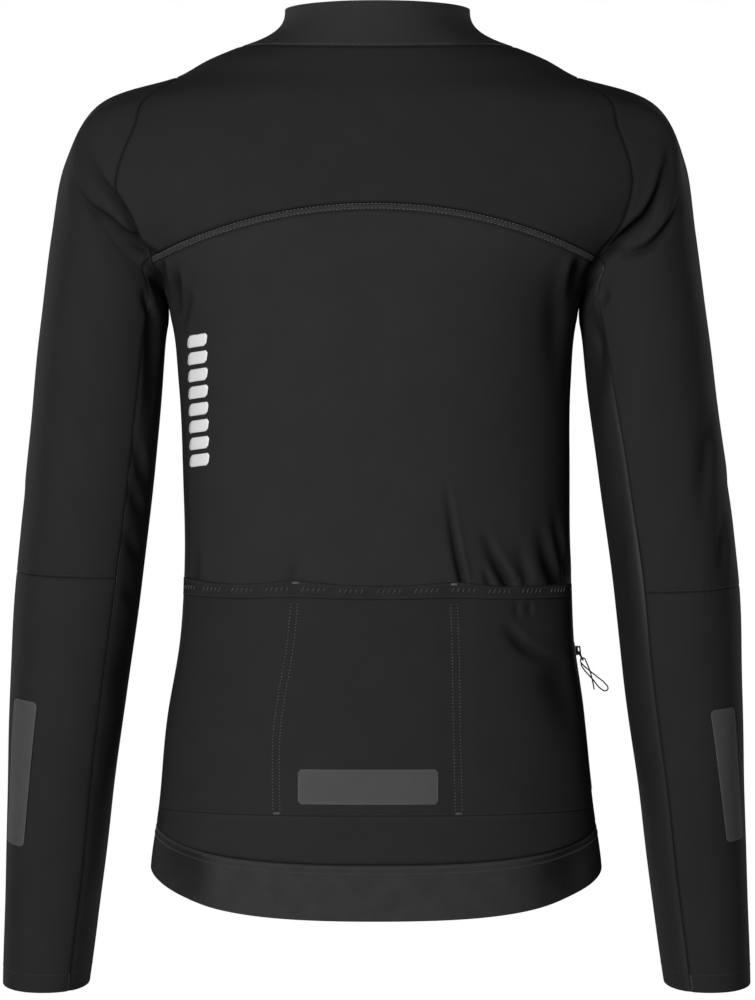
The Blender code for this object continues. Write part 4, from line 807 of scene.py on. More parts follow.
# ---------------------------------------------------------------- back yoke
# The upper back of the same softshell.  It reaches over both shoulders to a seam just in front of
# their ridge, and is joined to the lower back by a flat cover-stitched seam.

SHOULDER_SEAM_TURN = math.radians(96)
SHOULDER_STEPS = 3
ARM_STEPS = 16
SHOULDER_SEAM_STEP = 8
YOKE_ARM_ROWS = 56
YOKE_SHOULDER_ROWS = 23
EVEN_ROWS = 0.25  # how far the rows are evenly spread at the spine, and not by their ends' levels


def shoulder_seam(shares):
    """(turn, level) along the shoulder seam from the armhole to the neck."""
    turn, level = armhole(arm_angles(-UNDERARM, UNDERARM, [SHOULDER_SEAM_STEP / ARM_STEPS])[0])
    return turn + (SHOULDER_SEAM_TURN - turn) * shares, level + (NECK_LEVEL - level) * shares


def yoke_grid():
    """The plain yoke, row by row from its seam up the armholes and along the shoulders to the neck."""
    steps = edged(np.linspace(0, SHOULDER_SEAM_STEP, YOKE_ARM_ROWS))
    turns, levels = armhole(arm_angles(-UNDERARM, UNDERARM, 1 - steps / ARM_STEPS))
    seam_steps = edged(np.linspace(0, 1, YOKE_SHOULDER_ROWS))[1:]
    seam_turns, seam_levels = shoulder_seam(seam_steps)
    places = np.concatenate([steps, SHOULDER_SEAM_STEP + SHOULDER_STEPS * seam_steps])
    turns, levels = np.concatenate([turns, seam_turns]), np.concatenate([levels, seam_levels])
    rise_share = (levels - levels[0]) / (NECK_LEVEL - levels[0])
    share = EVEN_ROWS * places / places[-1] + (1 - EVEN_ROWS) * rise_share
    spines = YOKE_CENTRE_LEVEL + (NECK_LEVEL - YOKE_CENTRE_LEVEL) * share
    rows = [back_row(turn, level, spine, YOKE_ARCH, BACK_SHARES)
            for turn, level, spine in zip(turns, levels, spines)]
    return swayed(np.array(rows))


STITCH_SIDES = 5
StitchRing = namedtuple("StitchRing", "share height girth")
STITCH_RINGS = [StitchRing(*row) for row in (
    (0.0, -0.8, 0.5),
    (0.2, 0.35, 1.0),
    (0.8, 0.35, 1.0),
    (1.0, -0.8, 0.5),
)]


def thread_material(name, dark, light, roughness):
    """Spun thread: its shade changes a little from stitch to stitch, with a fine twist."""
    material, shader, w = new_material(name, roughness, gloss=0.3)
    place = w.node("ShaderNodeTexCoord").outputs["Object"]
    w.link(w.shade(w.noise(place, 420, 1), grey(dark), grey(light)), shader.inputs["Base Color"])
    w.link(w.relief(w.noise(place, 5200, 0), 0.00005), shader.inputs["Normal"])
    return material


THREAD = thread_material("black_thread", 0.020, 0.060, roughness=0.6)
# The pale thread is a lighter grey than the black thread.
PALE_THREAD = thread_material("pale_thread", 0.060, 0.150, roughness=0.55)
GREY_THREAD = thread_material("grey_thread", 0.034, 0.078, roughness=0.55)


def on_cloth(cloth, rows, columns, out=0.0):
    """Points on a cloth and their outward directions, at places counted in its rows and columns."""
    rows, columns = np.broadcast_arrays(np.asarray(rows, float), np.asarray(columns, float))
    j = np.clip(rows.astype(int), 0, cloth.points.shape[0] - 2)
    i = np.clip(columns.astype(int), 0, cloth.points.shape[1] - 2)
    v, u = (rows - j)[..., None], (columns - i)[..., None]
    points, normals = ((table[j, i] * (1 - u) + table[j, i + 1] * u) * (1 - v)
                       + (table[j + 1, i] * (1 - u) + table[j + 1, i + 1] * u) * v
                       for table in (cloth.points, cloth.normals))
    normals = unit(normals)
    return points + normals * out, normals


def from_edge(cloth, edge, distance):
    """The row of each column, or the column of each row, that lies a distance from an edge of a cloth."""
    axis = 0 if edge in ("bottom", "top") else 1
    along = np.moveaxis(lengths_along(cloth.points, axis), axis, 0)
    goals = np.full(along.shape[1], distance) if edge in ("bottom", "left") else along[-1] - distance
    return np.array([np.interp(goal, line, np.arange(len(along))) for goal, line in zip(goals, along.T)])


def measured(cloth, rows, columns):
    """The length of a line on a cloth, and what finds points and outward directions along it."""
    rows, columns = np.broadcast_arrays(np.asarray(rows, float), np.asarray(columns, float))
    along = lengths_along(on_cloth(cloth, rows, columns)[0], 0)

    def at(distances):
        return on_cloth(cloth, np.interp(distances, along, rows), np.interp(distances, along, columns))

    return along[-1], at


def stitches(cloth, rows, columns, pitch, fill, lean=0.0):
    """The two ends of each stitch of a row along a line on a cloth, and the outward directions there.

    fill is the share of the pitch that a stitch covers, and lean how far it slants across the line.
    """
    length, at = measured(cloth, rows, columns)
    count = max(1, int(length / pitch))
    middles = (np.arange(count) + 0.5) * length / count
    (starts, _), (ends, _), (_, outs) = (at(middles + step * pitch * fill / 2) for step in (-1, 1, 0))
    across = unit(np.cross(outs, ends - starts)) * lean / 2
    return starts - across, ends + across, outs


def edge_stitches(cloth, edge, distance, pitch, fill, ends=2):
    """A row of stitches a distance from an edge of a cloth, without a few places at its two ends."""
    places = from_edge(cloth, edge, distance)[ends:-ends]
    stops = np.arange(len(places)) + ends
    rows, columns = (places, stops) if edge in ("bottom", "top") else (stops, places)
    return stitches(cloth, rows, columns, pitch, fill)


def band_stitches(cloth, edge, near, far, pitch, lean=0.0, ends=3):
    """Stitches across the band between two distances from an edge.  lean is how far they slant."""
    columns = np.arange(cloth.points.shape[1])[ends:-ends]
    found = []
    for way, distance in ((-0.5, near), (0.5, far)):
        length, at = measured(cloth, from_edge(cloth, edge, distance)[ends:-ends], columns)
        count = int(length / pitch)
        share = np.clip((np.arange(count) + 0.5) / count + lean / length * way, 0, 1)
        found.append(at(share * length))
    (starts, outs), (others, _) = found
    count = min(len(starts), len(others))
    return starts[:count], others[:count], outs[:count]


def thread_mesh(name, runs, material, radius):
    """One piece of the stitches in runs of (starts, ends, outs): each lies on the cloth and dives in."""
    starts, ends, outs = (np.concatenate(parts) for parts in zip(*runs))
    along = ends - starts
    side = unit(np.cross(along, outs))
    up = unit(np.cross(side, along))
    points = []
    for ring in STITCH_RINGS:
        centre = starts + along * ring.share + up * ring.height * radius
        for k in range(STITCH_SIDES):
            angle = 2 * math.pi * k / STITCH_SIDES
            points.append(centre + (side * math.cos(angle) + up * math.sin(angle)) * radius * ring.girth)
    rings = len(STITCH_RINGS)
    points = np.stack(points, axis=1)
    number = np.arange(rings * STITCH_SIDES).reshape(rings, STITCH_SIDES)
    after = np.roll(number, -1, axis=1)
    quads = np.stack([number[:-1], number[1:], after[1:], after[:-1]], axis=-1).reshape(-1, 4)
    first = (np.arange(len(points)) * rings * STITCH_SIDES)[:, None, None]
    faces = (quads[None] + first).reshape(-1, 4).tolist()
    faces += (number[0][None] + first[:, 0]).tolist() + (number[-1][::-1][None] + first[:, 0]).tolist()
    piece = add_mesh(name, points.reshape(-1, 3), faces, material)
    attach(piece, "jacket")
    return piece


plain = yoke_grid()
YOKE = worn(plain, ("all", "body"), ("bottom", "top", "left", "right"))
piece = shell("back_yoke_cloth", YOKE, SHELL, SOFTSHELL, lining=BRUSHED)
put_on(piece, "back_yoke", cut_size(plain))

# The cover stitch lies below the seam: two needle rows with fine threads across between them.
COVER_STITCH_TOP = 0.0010
COVER_STITCH_BOTTOM = 0.0045
needle_rows = [edge_stitches(LOWER_BACK, "top", gap, pitch=0.0028, fill=0.72, ends=3)
               for gap in (COVER_STITCH_TOP, COVER_STITCH_BOTTOM)]
cross_threads = band_stitches(LOWER_BACK, "top", COVER_STITCH_BOTTOM, COVER_STITCH_TOP,
                              pitch=0.0015, lean=0.0006)
thread_mesh("yoke_seam_needle_rows", needle_rows, PALE_THREAD, radius=0.00026)
thread_mesh("yoke_seam_cross_threads", [cross_threads], GREY_THREAD, radius=0.00024)

# ---------------------------------------------------------------- fronts
# The left and right front, of the same softshell, sewn to the back at the sides and shoulders.  Their
# edges are turned in along the front zip.

FRONT_EDGE = 0.0055
FRONT_COLUMNS = 9
FRONT_STEPS = 11
UNDER_STEPS = 3
FRONT_SHARES = edged(np.linspace(0, 1, 50))
FRONT_ARMPIT_ROWS = 20
FRONT_UNDER_ROWS = 22
FRONT_UPPER_ROWS = 60


def front_turn(x, level):
    """The turn near the middle of the front at which the torso is x from that middle."""
    half_width, _, _, square = read(TORSO, level)
    return math.pi - np.arcsin((x / half_width) ** (square / 2))


def seen(turn, level):
    """The x of places on the torso."""
    half_width, _, _, square = read(TORSO, level)
    return half_width * np.sin(turn) ** (2 / square)


def front_grid():
    """The plain right front.  Above the armpit it is a patch between its four curved edges."""
    columns = FRONT_SHARES
    side, middle = SIDE_SEAM_TURN, front_turn(FRONT_EDGE, HEM_SEAM_LEVEL)
    rows = [hem_seam(side + (middle - side) * columns, share) for share in HEM_SHARES]
    for level in PLAIN_LEVELS:
        side, middle = side_seam_turn(level), front_turn(FRONT_EDGE, level)
        rows.append(torso(side + (middle - side) * columns, level))

    dip = ARMPIT_DIPS[0]
    low = PLAIN_LEVELS[-1]
    drop = 1 - (1 - columns) ** dip.arch
    bottom_turn = math.pi / 2 + (front_turn(FRONT_EDGE, dip.spine_level) - math.pi / 2) * columns
    bottom_level = ARMPIT_LEVEL + (dip.spine_level - ARMPIT_LEVEL) * drop
    low_turn = side_seam_turn(low) + (front_turn(FRONT_EDGE, low) - side_seam_turn(low)) * columns
    for share in np.linspace(0, 1, FRONT_ARMPIT_ROWS)[1:-1]:
        rows.append(torso(low_turn + (bottom_turn - low_turn) * share, low + (bottom_level - low) * share))

    steps = np.concatenate([np.linspace(0, UNDER_STEPS, FRONT_UNDER_ROWS)[:-1],
                            edged(np.linspace(UNDER_STEPS, FRONT_STEPS, FRONT_UPPER_ROWS))])
    under = steps <= UNDER_STEPS
    angles = np.concatenate([arm_angles(-math.pi, -UNDERARM, steps[under] / UNDER_STEPS),
                             arm_angles(-UNDERARM, UNDERARM, (steps[~under] - UNDER_STEPS) / ARM_STEPS)])
    left_turn, left_level = armhole(angles)
    right_level = dip.spine_level + (NECK_LEVEL - dip.spine_level) * steps / FRONT_STEPS
    right_turn = front_turn(FRONT_EDGE, right_level)
    corner = SHOULDER_STEPS / FRONT_COLUMNS
    seam_turn, seam_level = shoulder_seam(np.minimum(columns / corner, 1))
    neck = np.maximum(columns - corner, 0) / (1 - corner)
    top_turn = np.where(columns < corner, seam_turn,
                        SHOULDER_SEAM_TURN + (right_turn[-1] - SHOULDER_SEAM_TURN) * neck)
    top_level = np.where(columns < corner, seam_level, NECK_LEVEL)
    s, t = columns[None, :], (steps / FRONT_STEPS)[:, None]
    edges = []
    for left, right, bottom, top in (
            (seen(left_turn, left_level), seen(right_turn, right_level),
             seen(bottom_turn, bottom_level), seen(top_turn, top_level)),
            (left_level, right_level, bottom_level, top_level)):
        across = left[:, None] * (1 - s) + right[:, None] * s
        upward = bottom[None, :] * (1 - t) + top[None, :] * t
        corners = ((bottom[0] * (1 - s) + bottom[-1] * s) * (1 - t) + (top[0] * (1 - s) + top[-1] * s) * t)
        edges.append(across + upward - corners)
    x, level = edges
    half_width, _, _, square = read(TORSO, level)
    turn = math.pi - np.arcsin(np.clip(x / half_width, 0, 1) ** (square / 2))
    turn[:, 0], level[:, 0] = left_turn, left_level
    turn[-1], level[-1] = top_turn, top_level
    turn[0], level[0] = bottom_turn, bottom_level
    rows += list(torso(turn, level))
    return np.array(rows)


plain = front_grid()
FRONT = {}
for side, seam, grid in (("right", "left", swayed(plain)), ("left", "right", swayed(mirrored(plain)))):
    FRONT[side] = worn(grid, ("all", "body"), ("bottom", "top", seam))
    piece = shell(f"front_{side}_cloth", FRONT[side], SHELL, SOFTSHELL, lining=BRUSHED)
    put_on(piece, f"front_{side}", cut_size(grid))

# ---------------------------------------------------------------- collar
# One stand-up band of softshell, sewn round the neck, open in front where the zip runs up into it.

RIM_HALF_WIDTH = 0.0695
RIM_BACK = 0.061
RIM_FRONT = 0.074
RIM_LEVEL = 0.0300
RIM_FRONT_DROP = 0.050
FLARE_BACK = 1.3
FLARE_SIDE = 2.8
COLLAR_ROWS = 17
COLLAR_COLUMNS = 180


def collar_point(turn, height):
    """Points of the collar: height 0 is the neck seam and 1 the rim."""
    turn, height = np.broadcast_arrays(np.asarray(turn, float), np.asarray(height, float))
    foot = torso(turn, NECK_LEVEL)
    across, backward = np.sin(turn), np.cos(turn)
    depth = np.where(backward > 0, RIM_BACK, RIM_FRONT)
    drop = RIM_FRONT_DROP * np.maximum(0, -backward) ** 2
    rim = np.stack([RIM_HALF_WIDTH * across, -depth * backward, RIM_LEVEL - drop], axis=-1)
    flare = FLARE_BACK + (FLARE_SIDE - FLARE_BACK) * across ** 2
    inward = 1 - (1 - height) ** flare
    weights = np.stack([inward, inward, height], axis=-1)
    return foot + (rim - foot) * weights


def collar_front_turn(x, height):
    """The turn near the middle of the front at which the collar is x from that middle."""
    foot = TORSO[-1].half_width
    inward = 1 - (1 - height) ** FLARE_BACK
    return math.pi - np.arcsin(x / (foot + (RIM_HALF_WIDTH - foot) * inward))


def collar_grid():
    shares = edged(np.linspace(-1, 1, COLLAR_COLUMNS))
    rows = [collar_point(shares * collar_front_turn(FRONT_EDGE, height), height)
            for height in edged(np.linspace(0, 1, COLLAR_ROWS))]
    return swayed(np.array(rows))


plain = collar_grid()
COLLAR = worn(plain, ("collar",), ("bottom",), swell=STIFF_SWELL)
# A lighter copy of the same softshell for the collar: painted light.
PAINTED_LIGHTER_COLLAR_SOFTSHELL = cloth_material("softshell_collar_painted_lighter", (0.023, 0.023, 0.0233), (0.037, 0.037, 0.0375),
                                  roughness=0.85, threads=1500, relief=0.00005, gloss=0.12)
piece = shell("collar_cloth", COLLAR, SHELL, PAINTED_LIGHTER_COLLAR_SOFTSHELL, lining=BRUSHED)
put_on(piece, "collar", cut_size(plain))

# ---------------------------------------------------------------- hem band
# A wide matte elastic all round the hem, flat-sewn to the panels above with two rows of stitches.

HEM_LEVEL = -0.6225
HEM_TILT = 0.169
HEM_LIFT = 0.012
HEM_ROWS = 15
HEM_FRONT_COLUMNS = 60


def make_ribs():
    """Knitted elastic: close ribs along the band, broken into small loops."""
    w, place, end, u, v = new_weave("elastic_ribs")
    rib = w.math("ABSOLUTE", w.math("SINE", w.math("MULTIPLY", v, math.pi)))
    half = w.math("MULTIPLY", w.math("FLOOR", v), 0.5)
    loop = w.math("ABSOLUTE", w.math("SINE", w.math("MULTIPLY", w.math("ADD", u, half), math.pi)))
    loops = w.math("MULTIPLY", rib, loop)
    w.link(loops, end.inputs["Height"])
    w.link(w.mixed(0.4, w.noise(place, 60, 3), loops), end.inputs["Shade"])
    return w.tree


RIBS = make_ribs()


def elastic_material(name, dark, light, ribs, relief):
    """A matte knitted elastic, with so many ribs a metre."""
    return cloth_material(name, grey(dark), grey(light), roughness=0.85, threads=ribs, relief=relief,
                          gloss=0.05, weave=RIBS)


ELASTIC = elastic_material("hem_elastic", 0.0235, 0.0515, ribs=1100, relief=0.0001)


def hem_line(share):
    """The level, tilt and lift of a line round the hem band, a share of the way up it."""
    return (HEM_LEVEL + (HEM_SEAM_LEVEL - HEM_LEVEL) * share, HEM_TILT + (HEM_SEAM_TILT - HEM_TILT) * share,
            HEM_LIFT + (HEM_SEAM_LIFT - HEM_LIFT) * share)


def hem_grid():
    back = SIDE_SEAM_TURN * BACK_SHARES[2:-2]
    shares = edged(np.linspace(0, 1, HEM_FRONT_COLUMNS))
    front = SIDE_SEAM_TURN + (front_turn(FRONT_EDGE, HEM_SEAM_LEVEL) - SIDE_SEAM_TURN) * shares
    turns = np.concatenate([-front[::-1], back[1:-1], front])
    rows = [torso(turns, hem_level(turns, *hem_line(share))) for share in edged(np.linspace(0, 1, HEM_ROWS))]
    return swayed(np.array(rows))


plain = hem_grid()
HEM = worn(plain, ("hem",), ("top",), swell=STIFF_SWELL)
piece = shell("hem_band_elastic", HEM, SHELL, ELASTIC)
put_on(piece, "hem_band", cut_size(plain))

# ---------------------------------------------------------------- sleeves
# Each sleeve has an upper and a lower outer piece of softshell, joined at the elbow, and one long
# underarm panel of a thinner, shinier stretch cloth from the armpit to the cuff.

SleeveSection = namedtuple("SleeveSection", "station outer_x outer_z inner_x inner_z forward depth")
SLEEVE = [SleeveSection(*row) for row in (
    (0, 0.1500, -0.0210, 0.1575, -0.184, 0.000, 0.071),
    (1, 0.2080, -0.0410, 0.1560, -0.1868, 0.000, 0.060),
    (2, 0.2320, -0.0850, 0.1541, -0.1935, 0.000, 0.058),
    (3, 0.2410, -0.1390, 0.1540, -0.2035, -0.001, 0.057),
    (4, 0.2480, -0.1950, 0.1560, -0.2185, -0.003, 0.056),
    (5, 0.2545, -0.2510, 0.1598, -0.262, -0.006, 0.054),
    (6, 0.2615, -0.3150, 0.1665, -0.321, -0.008, 0.052),
    (7, 0.2700, -0.3940, 0.1760, -0.397, -0.006, 0.050),
    (8, 0.2745, -0.4700, 0.1855, -0.472, 0.003, 0.047),
    (9, 0.2775, -0.5510, 0.1975, -0.552, 0.016, 0.043),
    (10, 0.2805, -0.6260, 0.2070, -0.627, 0.029, 0.038),
    (11, 0.2840, -0.7030, 0.2180, -0.703, 0.041, 0.034),
)]
SLEEVE_SQUARE = 2.2
ELBOW_STATION = {"left": 6.95, "right": 7.08}
CUFF_STATION = 11
CAP_ENDS = 3.0
UNDERARM_COLUMNS = 46
LEAN_STEP = 0.25  # how far along a sleeve its lean is measured

UnderarmSeam = namedtuple("UnderarmSeam", "station left right")
UNDERARM_SEAM = [UnderarmSeam(*row) for row in (
    (0.0, 130, 130),
    (1.0, 130, 130),
    (2.8, 135, 136),
    (4.5, 132, 131),
    (6.0, 130, 125),
    (8.0, 126, 121),
    (9.5, 126, 117),
    (11.0, 124, 114),
)]

STRETCH = cloth_material("underarm_stretch", (0.0125, 0.0125, 0.0130), (0.0220, 0.0220, 0.0225),
                         roughness=0.48, threads=1900, relief=0.00004, gloss=0.24)


def sleeve_ring(angle, station, square):
    """Points of the plain sleeve tube.  Angle 0 is its outer edge and a quarter turn its back."""
    angle, station = np.broadcast_arrays(angle, station)
    outer_x, outer_z, inner_x, inner_z, forward, depth = read(SLEEVE, station)
    ahead = read(SLEEVE, np.minimum(station + LEAN_STEP, CUFF_STATION))
    behind = read(SLEEVE, np.maximum(station - LEAN_STEP, 0))
    fall = (behind[1] + behind[3] - ahead[1] - ahead[3]) / 2
    lean = (ahead[4] - behind[4]) / np.maximum(fall, 0.001)
    across = power(np.cos(angle), 2 / square)
    backward = depth * power(np.sin(angle), 2 / square)
    x = (outer_x + inner_x) / 2 + (outer_x - inner_x) / 2 * across
    z = (outer_z + inner_z) / 2 + (outer_z - inner_z) / 2 * across - backward * lean
    return np.stack([x, forward - backward, z], axis=-1)


def sleeve(angle, station):
    """Points of the right sleeve: the armhole's own shape at its top, a plain tube further down."""
    angle, station = np.broadcast_arrays(np.asarray(angle, float), np.asarray(station, float))
    share = 1 - rise(0, CAP_ENDS, station)
    square = SLEEVE_SQUARE + (ARMHOLE_SQUARE - SLEEVE_SQUARE) * share
    cap = torso(*armhole(angle)) - sleeve_ring(angle, np.zeros_like(station), ARMHOLE_SQUARE)
    return sleeve_ring(angle, station, square) + share[..., None] * cap


def torso_outward(turn, level):
    """The outward direction of the torso at places on it."""
    step = 1e-4
    around = torso(turn + step, level) - torso(turn - step, level)
    return unit(np.cross(around, torso(turn, level + step) - torso(turn, level - step)))


def underarm_seam(side, station):
    """The angle round a sleeve of its underarm panel's seam."""
    return np.radians(read(UNDERARM_SEAM, station)[("left", "right").index(side)])


CREASED_TO = 3.3  # the shoulder's creases end above this station


def station_stops(start, end):
    """Stations from start to end, a cell apart along the sleeve and closer among the creases."""
    fine = np.linspace(start, end, 400)
    along = lengths_along(sleeve(np.full_like(fine, math.radians(60)), fine), 0)
    creased = np.interp(CREASED_TO, fine, along)
    return edged(np.interp(spaced(0, along[-1], CELL, (0, creased, FINE_CELL)), along, fine))


OUTER_SHARES = edged(spaced(0, 1, 0.0092, (0.54, 1, 0.0050)))


def sleeve_cloth(side, which):
    """The plain grid and the worn cloth of one of a sleeve's three pieces."""
    elbow = ELBOW_STATION[side]
    start = elbow if which == "forearm" else 0
    end = elbow if which == "upper" else CUFF_STATION
    stations = station_stops(start, end)[:, None]
    edge = underarm_seam(side, stations)
    if which == "under":
        shares = edged(np.linspace(-1, 1, UNDERARM_COLUMNS))
        behind = arm_angles(UNDERARM, math.pi, np.clip(1 + shares, 0, 1))
        before = 2 * math.pi + arm_angles(-math.pi, -UNDERARM, np.clip(shares, 0, 1))
        angles = np.where(shares <= 0, behind, before)[None, :]
        angles = math.pi + (angles - math.pi) * (math.pi - edge) / (math.pi - UNDERARM)
    else:
        angles = arm_angles(-UNDERARM, UNDERARM, OUTER_SHARES)[None, :] * edge / UNDERARM
    points = sleeve(angles, stations)
    normals = outward(points)
    top_angles = angles[0]
    if which == "under":
        top_angles = np.where(top_angles > math.pi, top_angles - 2 * math.pi, top_angles)
    at_armhole = torso_outward(*armhole(top_angles))[None]
    share = rise(0, 1.0, stations)[..., None]
    normals = unit(at_armhole * (1 - share) + normals * share)
    if side == "left":
        points, normals = mirrored(points), mirrored(normals)
    points = swayed(points)
    seams = ("bottom", "left", "right") + (("top",) if which == "upper" else ())
    cloths = ("all", "arm", "under") if which == "under" else ("all", "arm")
    flat = {"upper": "top", "forearm": "bottom", "under": ""}[which]
    return points, worn(points, cloths, seams, normals=normals, flat=flat)


SLEEVES = {}
for side in ("left", "right"):
    for which in ("upper", "forearm", "under"):
        plain, cloth = sleeve_cloth(side, which)
        SLEEVES[which, side] = cloth
        material = STRETCH if which == "under" else SOFTSHELL
        piece = shell(f"sleeve_{which}_{side}_cloth", cloth, SHELL, material, lining=BRUSHED)
        put_on(piece, f"sleeve_{which}_{side}", cut_size(plain))

# ---------------------------------------------------------------- back pockets
# One panel of softshell laid on the lower back and sewn to it along its bottom, its sides and two
# lines that part it into three pockets.  It stands a little away from the back between them.

POCKET_CLOTH = 0.0010
ON_POCKET = SEAM_GAP + POCKET_CLOTH
POCKET_BELLY = 0.0008
BELLY_STARTS = 0.009  # how far from a seam it has mostly grown
STITCH_PAIR = 0.0050  # between the two rows of a dividing line

# The dividing lines: how far right of the spine, in millimetres, at each level from the bottom up.
Divide = namedtuple("Divide", "level left right")
DIVIDES = [Divide(*row) for row in (
    (-566.5, -73.0, 59.0),
    (-530.0, -73.8, 58.2),
    (-503.0, -72.9, 57.6),
    (-482.0, -70.0, 57.4),
    (-448.0, -64.2, 56.9),
    (-409.0, -60.3, 55.6),
    (-397.0, -59.6, 55.2),
)]

POCKET_FIRST = len(HEM_SHARES)
POCKET_LAST = POCKET_FIRST + int(np.searchsorted(PLAIN_LEVELS, POCKET_TOP - 1e-6))
plain = BACK_PLAIN[POCKET_FIRST:POCKET_LAST + 1]

# How far the pockets' mouth hangs down, in millimetres, from the left side to the right.
Mouth = namedtuple("Mouth", "x drop")
POCKET_MOUTH = [Mouth(*row) for row in (
    (-142, -2.2),
    (-118, 1.2),
    (-95, 1.8),
    (-61, -0.8),
    (-30, 2.0),
    (20, 2.8),
    (56, 0.4),
    (88, 3.4),
    (120, 3.4),
    (142, 2.4),
)]
MOUTH_FADES = 0.030  # how far down the sag of the mouth is felt


def divides(points, gap=0.0):
    """For each dividing line, its distance from the spine at the points' levels."""
    left, right = read(DIVIDES, points[..., 2] * 1000)
    return left / 1000 + gap, right / 1000 + gap


def pocket_belly(points):
    """How far the pockets stand away from the back: nothing along the seams."""
    up, across = lengths_along(points, 0), lengths_along(points, 1)
    belly = np.full(points.shape[:-1], POCKET_BELLY)
    edges = [up, across, across[:, -1:] - across]
    for line in divides(points):
        edges.append(np.maximum(np.abs(points[..., 0] - line) - STITCH_PAIR / 2, 0))
    for away in edges:
        belly = belly * (1 - np.exp(-(away / BELLY_STARTS) ** 2))
    return belly


loose = worn(plain, ("pocket",), ())
felt = np.clip((plain[..., 2] - POCKET_TOP) / MOUTH_FADES + 1, 0, 1) ** 2
loose.points[..., 2] -= read(POCKET_MOUTH, loose.points[..., 0] * 1000)[0] / 1000 * felt
pocket_out = loose.normals * (ON_POCKET + pocket_belly(plain))[..., None]
POCKET = Cloth(loose.points + pocket_out, loose.normals, loose.crease)
piece = shell("pocket_panel_cloth", POCKET, POCKET_CLOTH, SOFTSHELL)
put_on(piece, "pocket_panel", cut_size(plain))


def column_of(cloth, row, x):
    """The column of a cloth's row that lies x to the right of the spine."""
    return float(np.interp(x, cloth.points[row, :, 0], np.arange(cloth.points.shape[1])))


below_binding = int(np.searchsorted(PLAIN_LEVELS, BINDING_BOTTOM - 1e-6))
rows = np.arange(1, below_binding)
runs = []
for line in (0, 1):
    for gap in (-STITCH_PAIR / 2, STITCH_PAIR / 2):
        xs = divides(POCKET.points[rows, 0], gap)[line]
        columns = [column_of(POCKET, row, x) for row, x in zip(rows, xs)]
        runs.append(stitches(POCKET, rows, columns, pitch=0.0024, fill=0.42))
thread_mesh("pocket_divide_stitches", runs, PALE_THREAD, radius=0.00036)

POCKET_EDGE_STITCH = 0.0016
runs = [edge_stitches(POCKET, "bottom", POCKET_EDGE_STITCH, pitch=0.0026, fill=0.65)]
thread_mesh("pocket_bottom_stitches", runs, THREAD, radius=0.00020)

# ---------------------------------------------------------------- pocket binding
# A 12 mm elastic along the pockets' top edge, with a row of stitches near each edge and a plain woven
# pattern of short slanted bars.

ELASTIC_THICK = 0.0012
BINDING_ON = SEAM_GAP + ELASTIC_THICK

BINDING_ELASTIC = elastic_material("binding_elastic", 0.0130, 0.0345, ribs=1000, relief=0.00015)
strip_rows = slice(below_binding, POCKET_LAST - POCKET_FIRST + 1)
plain = plain[strip_rows]
BINDING = Cloth(POCKET.points[strip_rows] + POCKET.normals[strip_rows] * BINDING_ON,
                POCKET.normals[strip_rows], POCKET.crease[strip_rows] * 0)
piece = shell("pocket_binding_elastic", BINDING, ELASTIC_THICK, BINDING_ELASTIC)
put_on(piece, "pocket_binding", cut_size(plain))

BINDING_EDGE_STITCH = 0.0016
BAR_BOTTOM = 0.0044
BAR_TOP = 0.0080
BAR_WORD = 7  # the woven bars stand in groups: so many places, of which so many hold a bar
BAR_LETTERS = 5
runs = [edge_stitches(BINDING, edge, BINDING_EDGE_STITCH, pitch=0.0022, fill=0.60)
        for edge in ("bottom", "top")]
thread_mesh("binding_stitches", runs, THREAD, radius=0.00020)
bars = band_stitches(BINDING, "bottom", BAR_BOTTOM, BAR_TOP, pitch=0.0039, lean=0.0018, ends=4)
shown = np.arange(len(bars[0])) % BAR_WORD < BAR_LETTERS
runs = [tuple(part[shown] for part in bars)]
thread_mesh("binding_woven_bars", runs, GREY_THREAD, radius=0.00042)

# Bar tacks hold the binding at the top of each dividing line, and the pocket at its foot.
TACK_WIDTH = 0.0065
TACK_THREADS = 3
TACK_STEP = 0.0005
TACK_UNEVEN = 0.0004
BINDING_TACKS = (-0.0598, 0.0560)
TACK_POINTS = 6


def bar_tacks(cloth, edge, first, row, xs, uneven=0.0):
    """Long stitches side by side at places x of a cloth's row, the first a distance from an edge."""
    runs = []
    for x in xs:
        for k in range(TACK_THREADS):
            reach = TACK_WIDTH / 2 - uneven * (k % 2)
            ends = (column_of(cloth, row, x - reach), column_of(cloth, row, x + reach))
            columns = np.linspace(*ends, TACK_POINTS)
            line = from_edge(cloth, edge, first + TACK_STEP * k)
            rows = np.interp(columns, np.arange(len(line)), line)
            runs.append(stitches(cloth, rows, columns, pitch=TACK_WIDTH, fill=0.95))
    return runs


middle_row = BINDING.points.shape[0] // 2
runs = bar_tacks(BINDING, "top", first=0.0010, row=middle_row, xs=BINDING_TACKS, uneven=TACK_UNEVEN)
thread_mesh("binding_bar_tacks", runs, PALE_THREAD, radius=0.00030)
runs = bar_tacks(POCKET, "bottom", first=0.0012, row=1, xs=divides(POCKET.points[1, 0]))
thread_mesh("pocket_bar_tacks", runs, PALE_THREAD, radius=0.00022)

# ---------------------------------------------------------------- reflective strips
# Grey film with fine glass beads, pressed onto the middle pocket and onto each forearm.

FILM = 0.0004
STRIP_ROUND = 0.0034
STRIP_CELL = 0.0030
STRIP_FINE_CELL = 0.0006  # where the corners are round
STRIP_RIM = 0.0008  # how far in from its edge a strip is paler


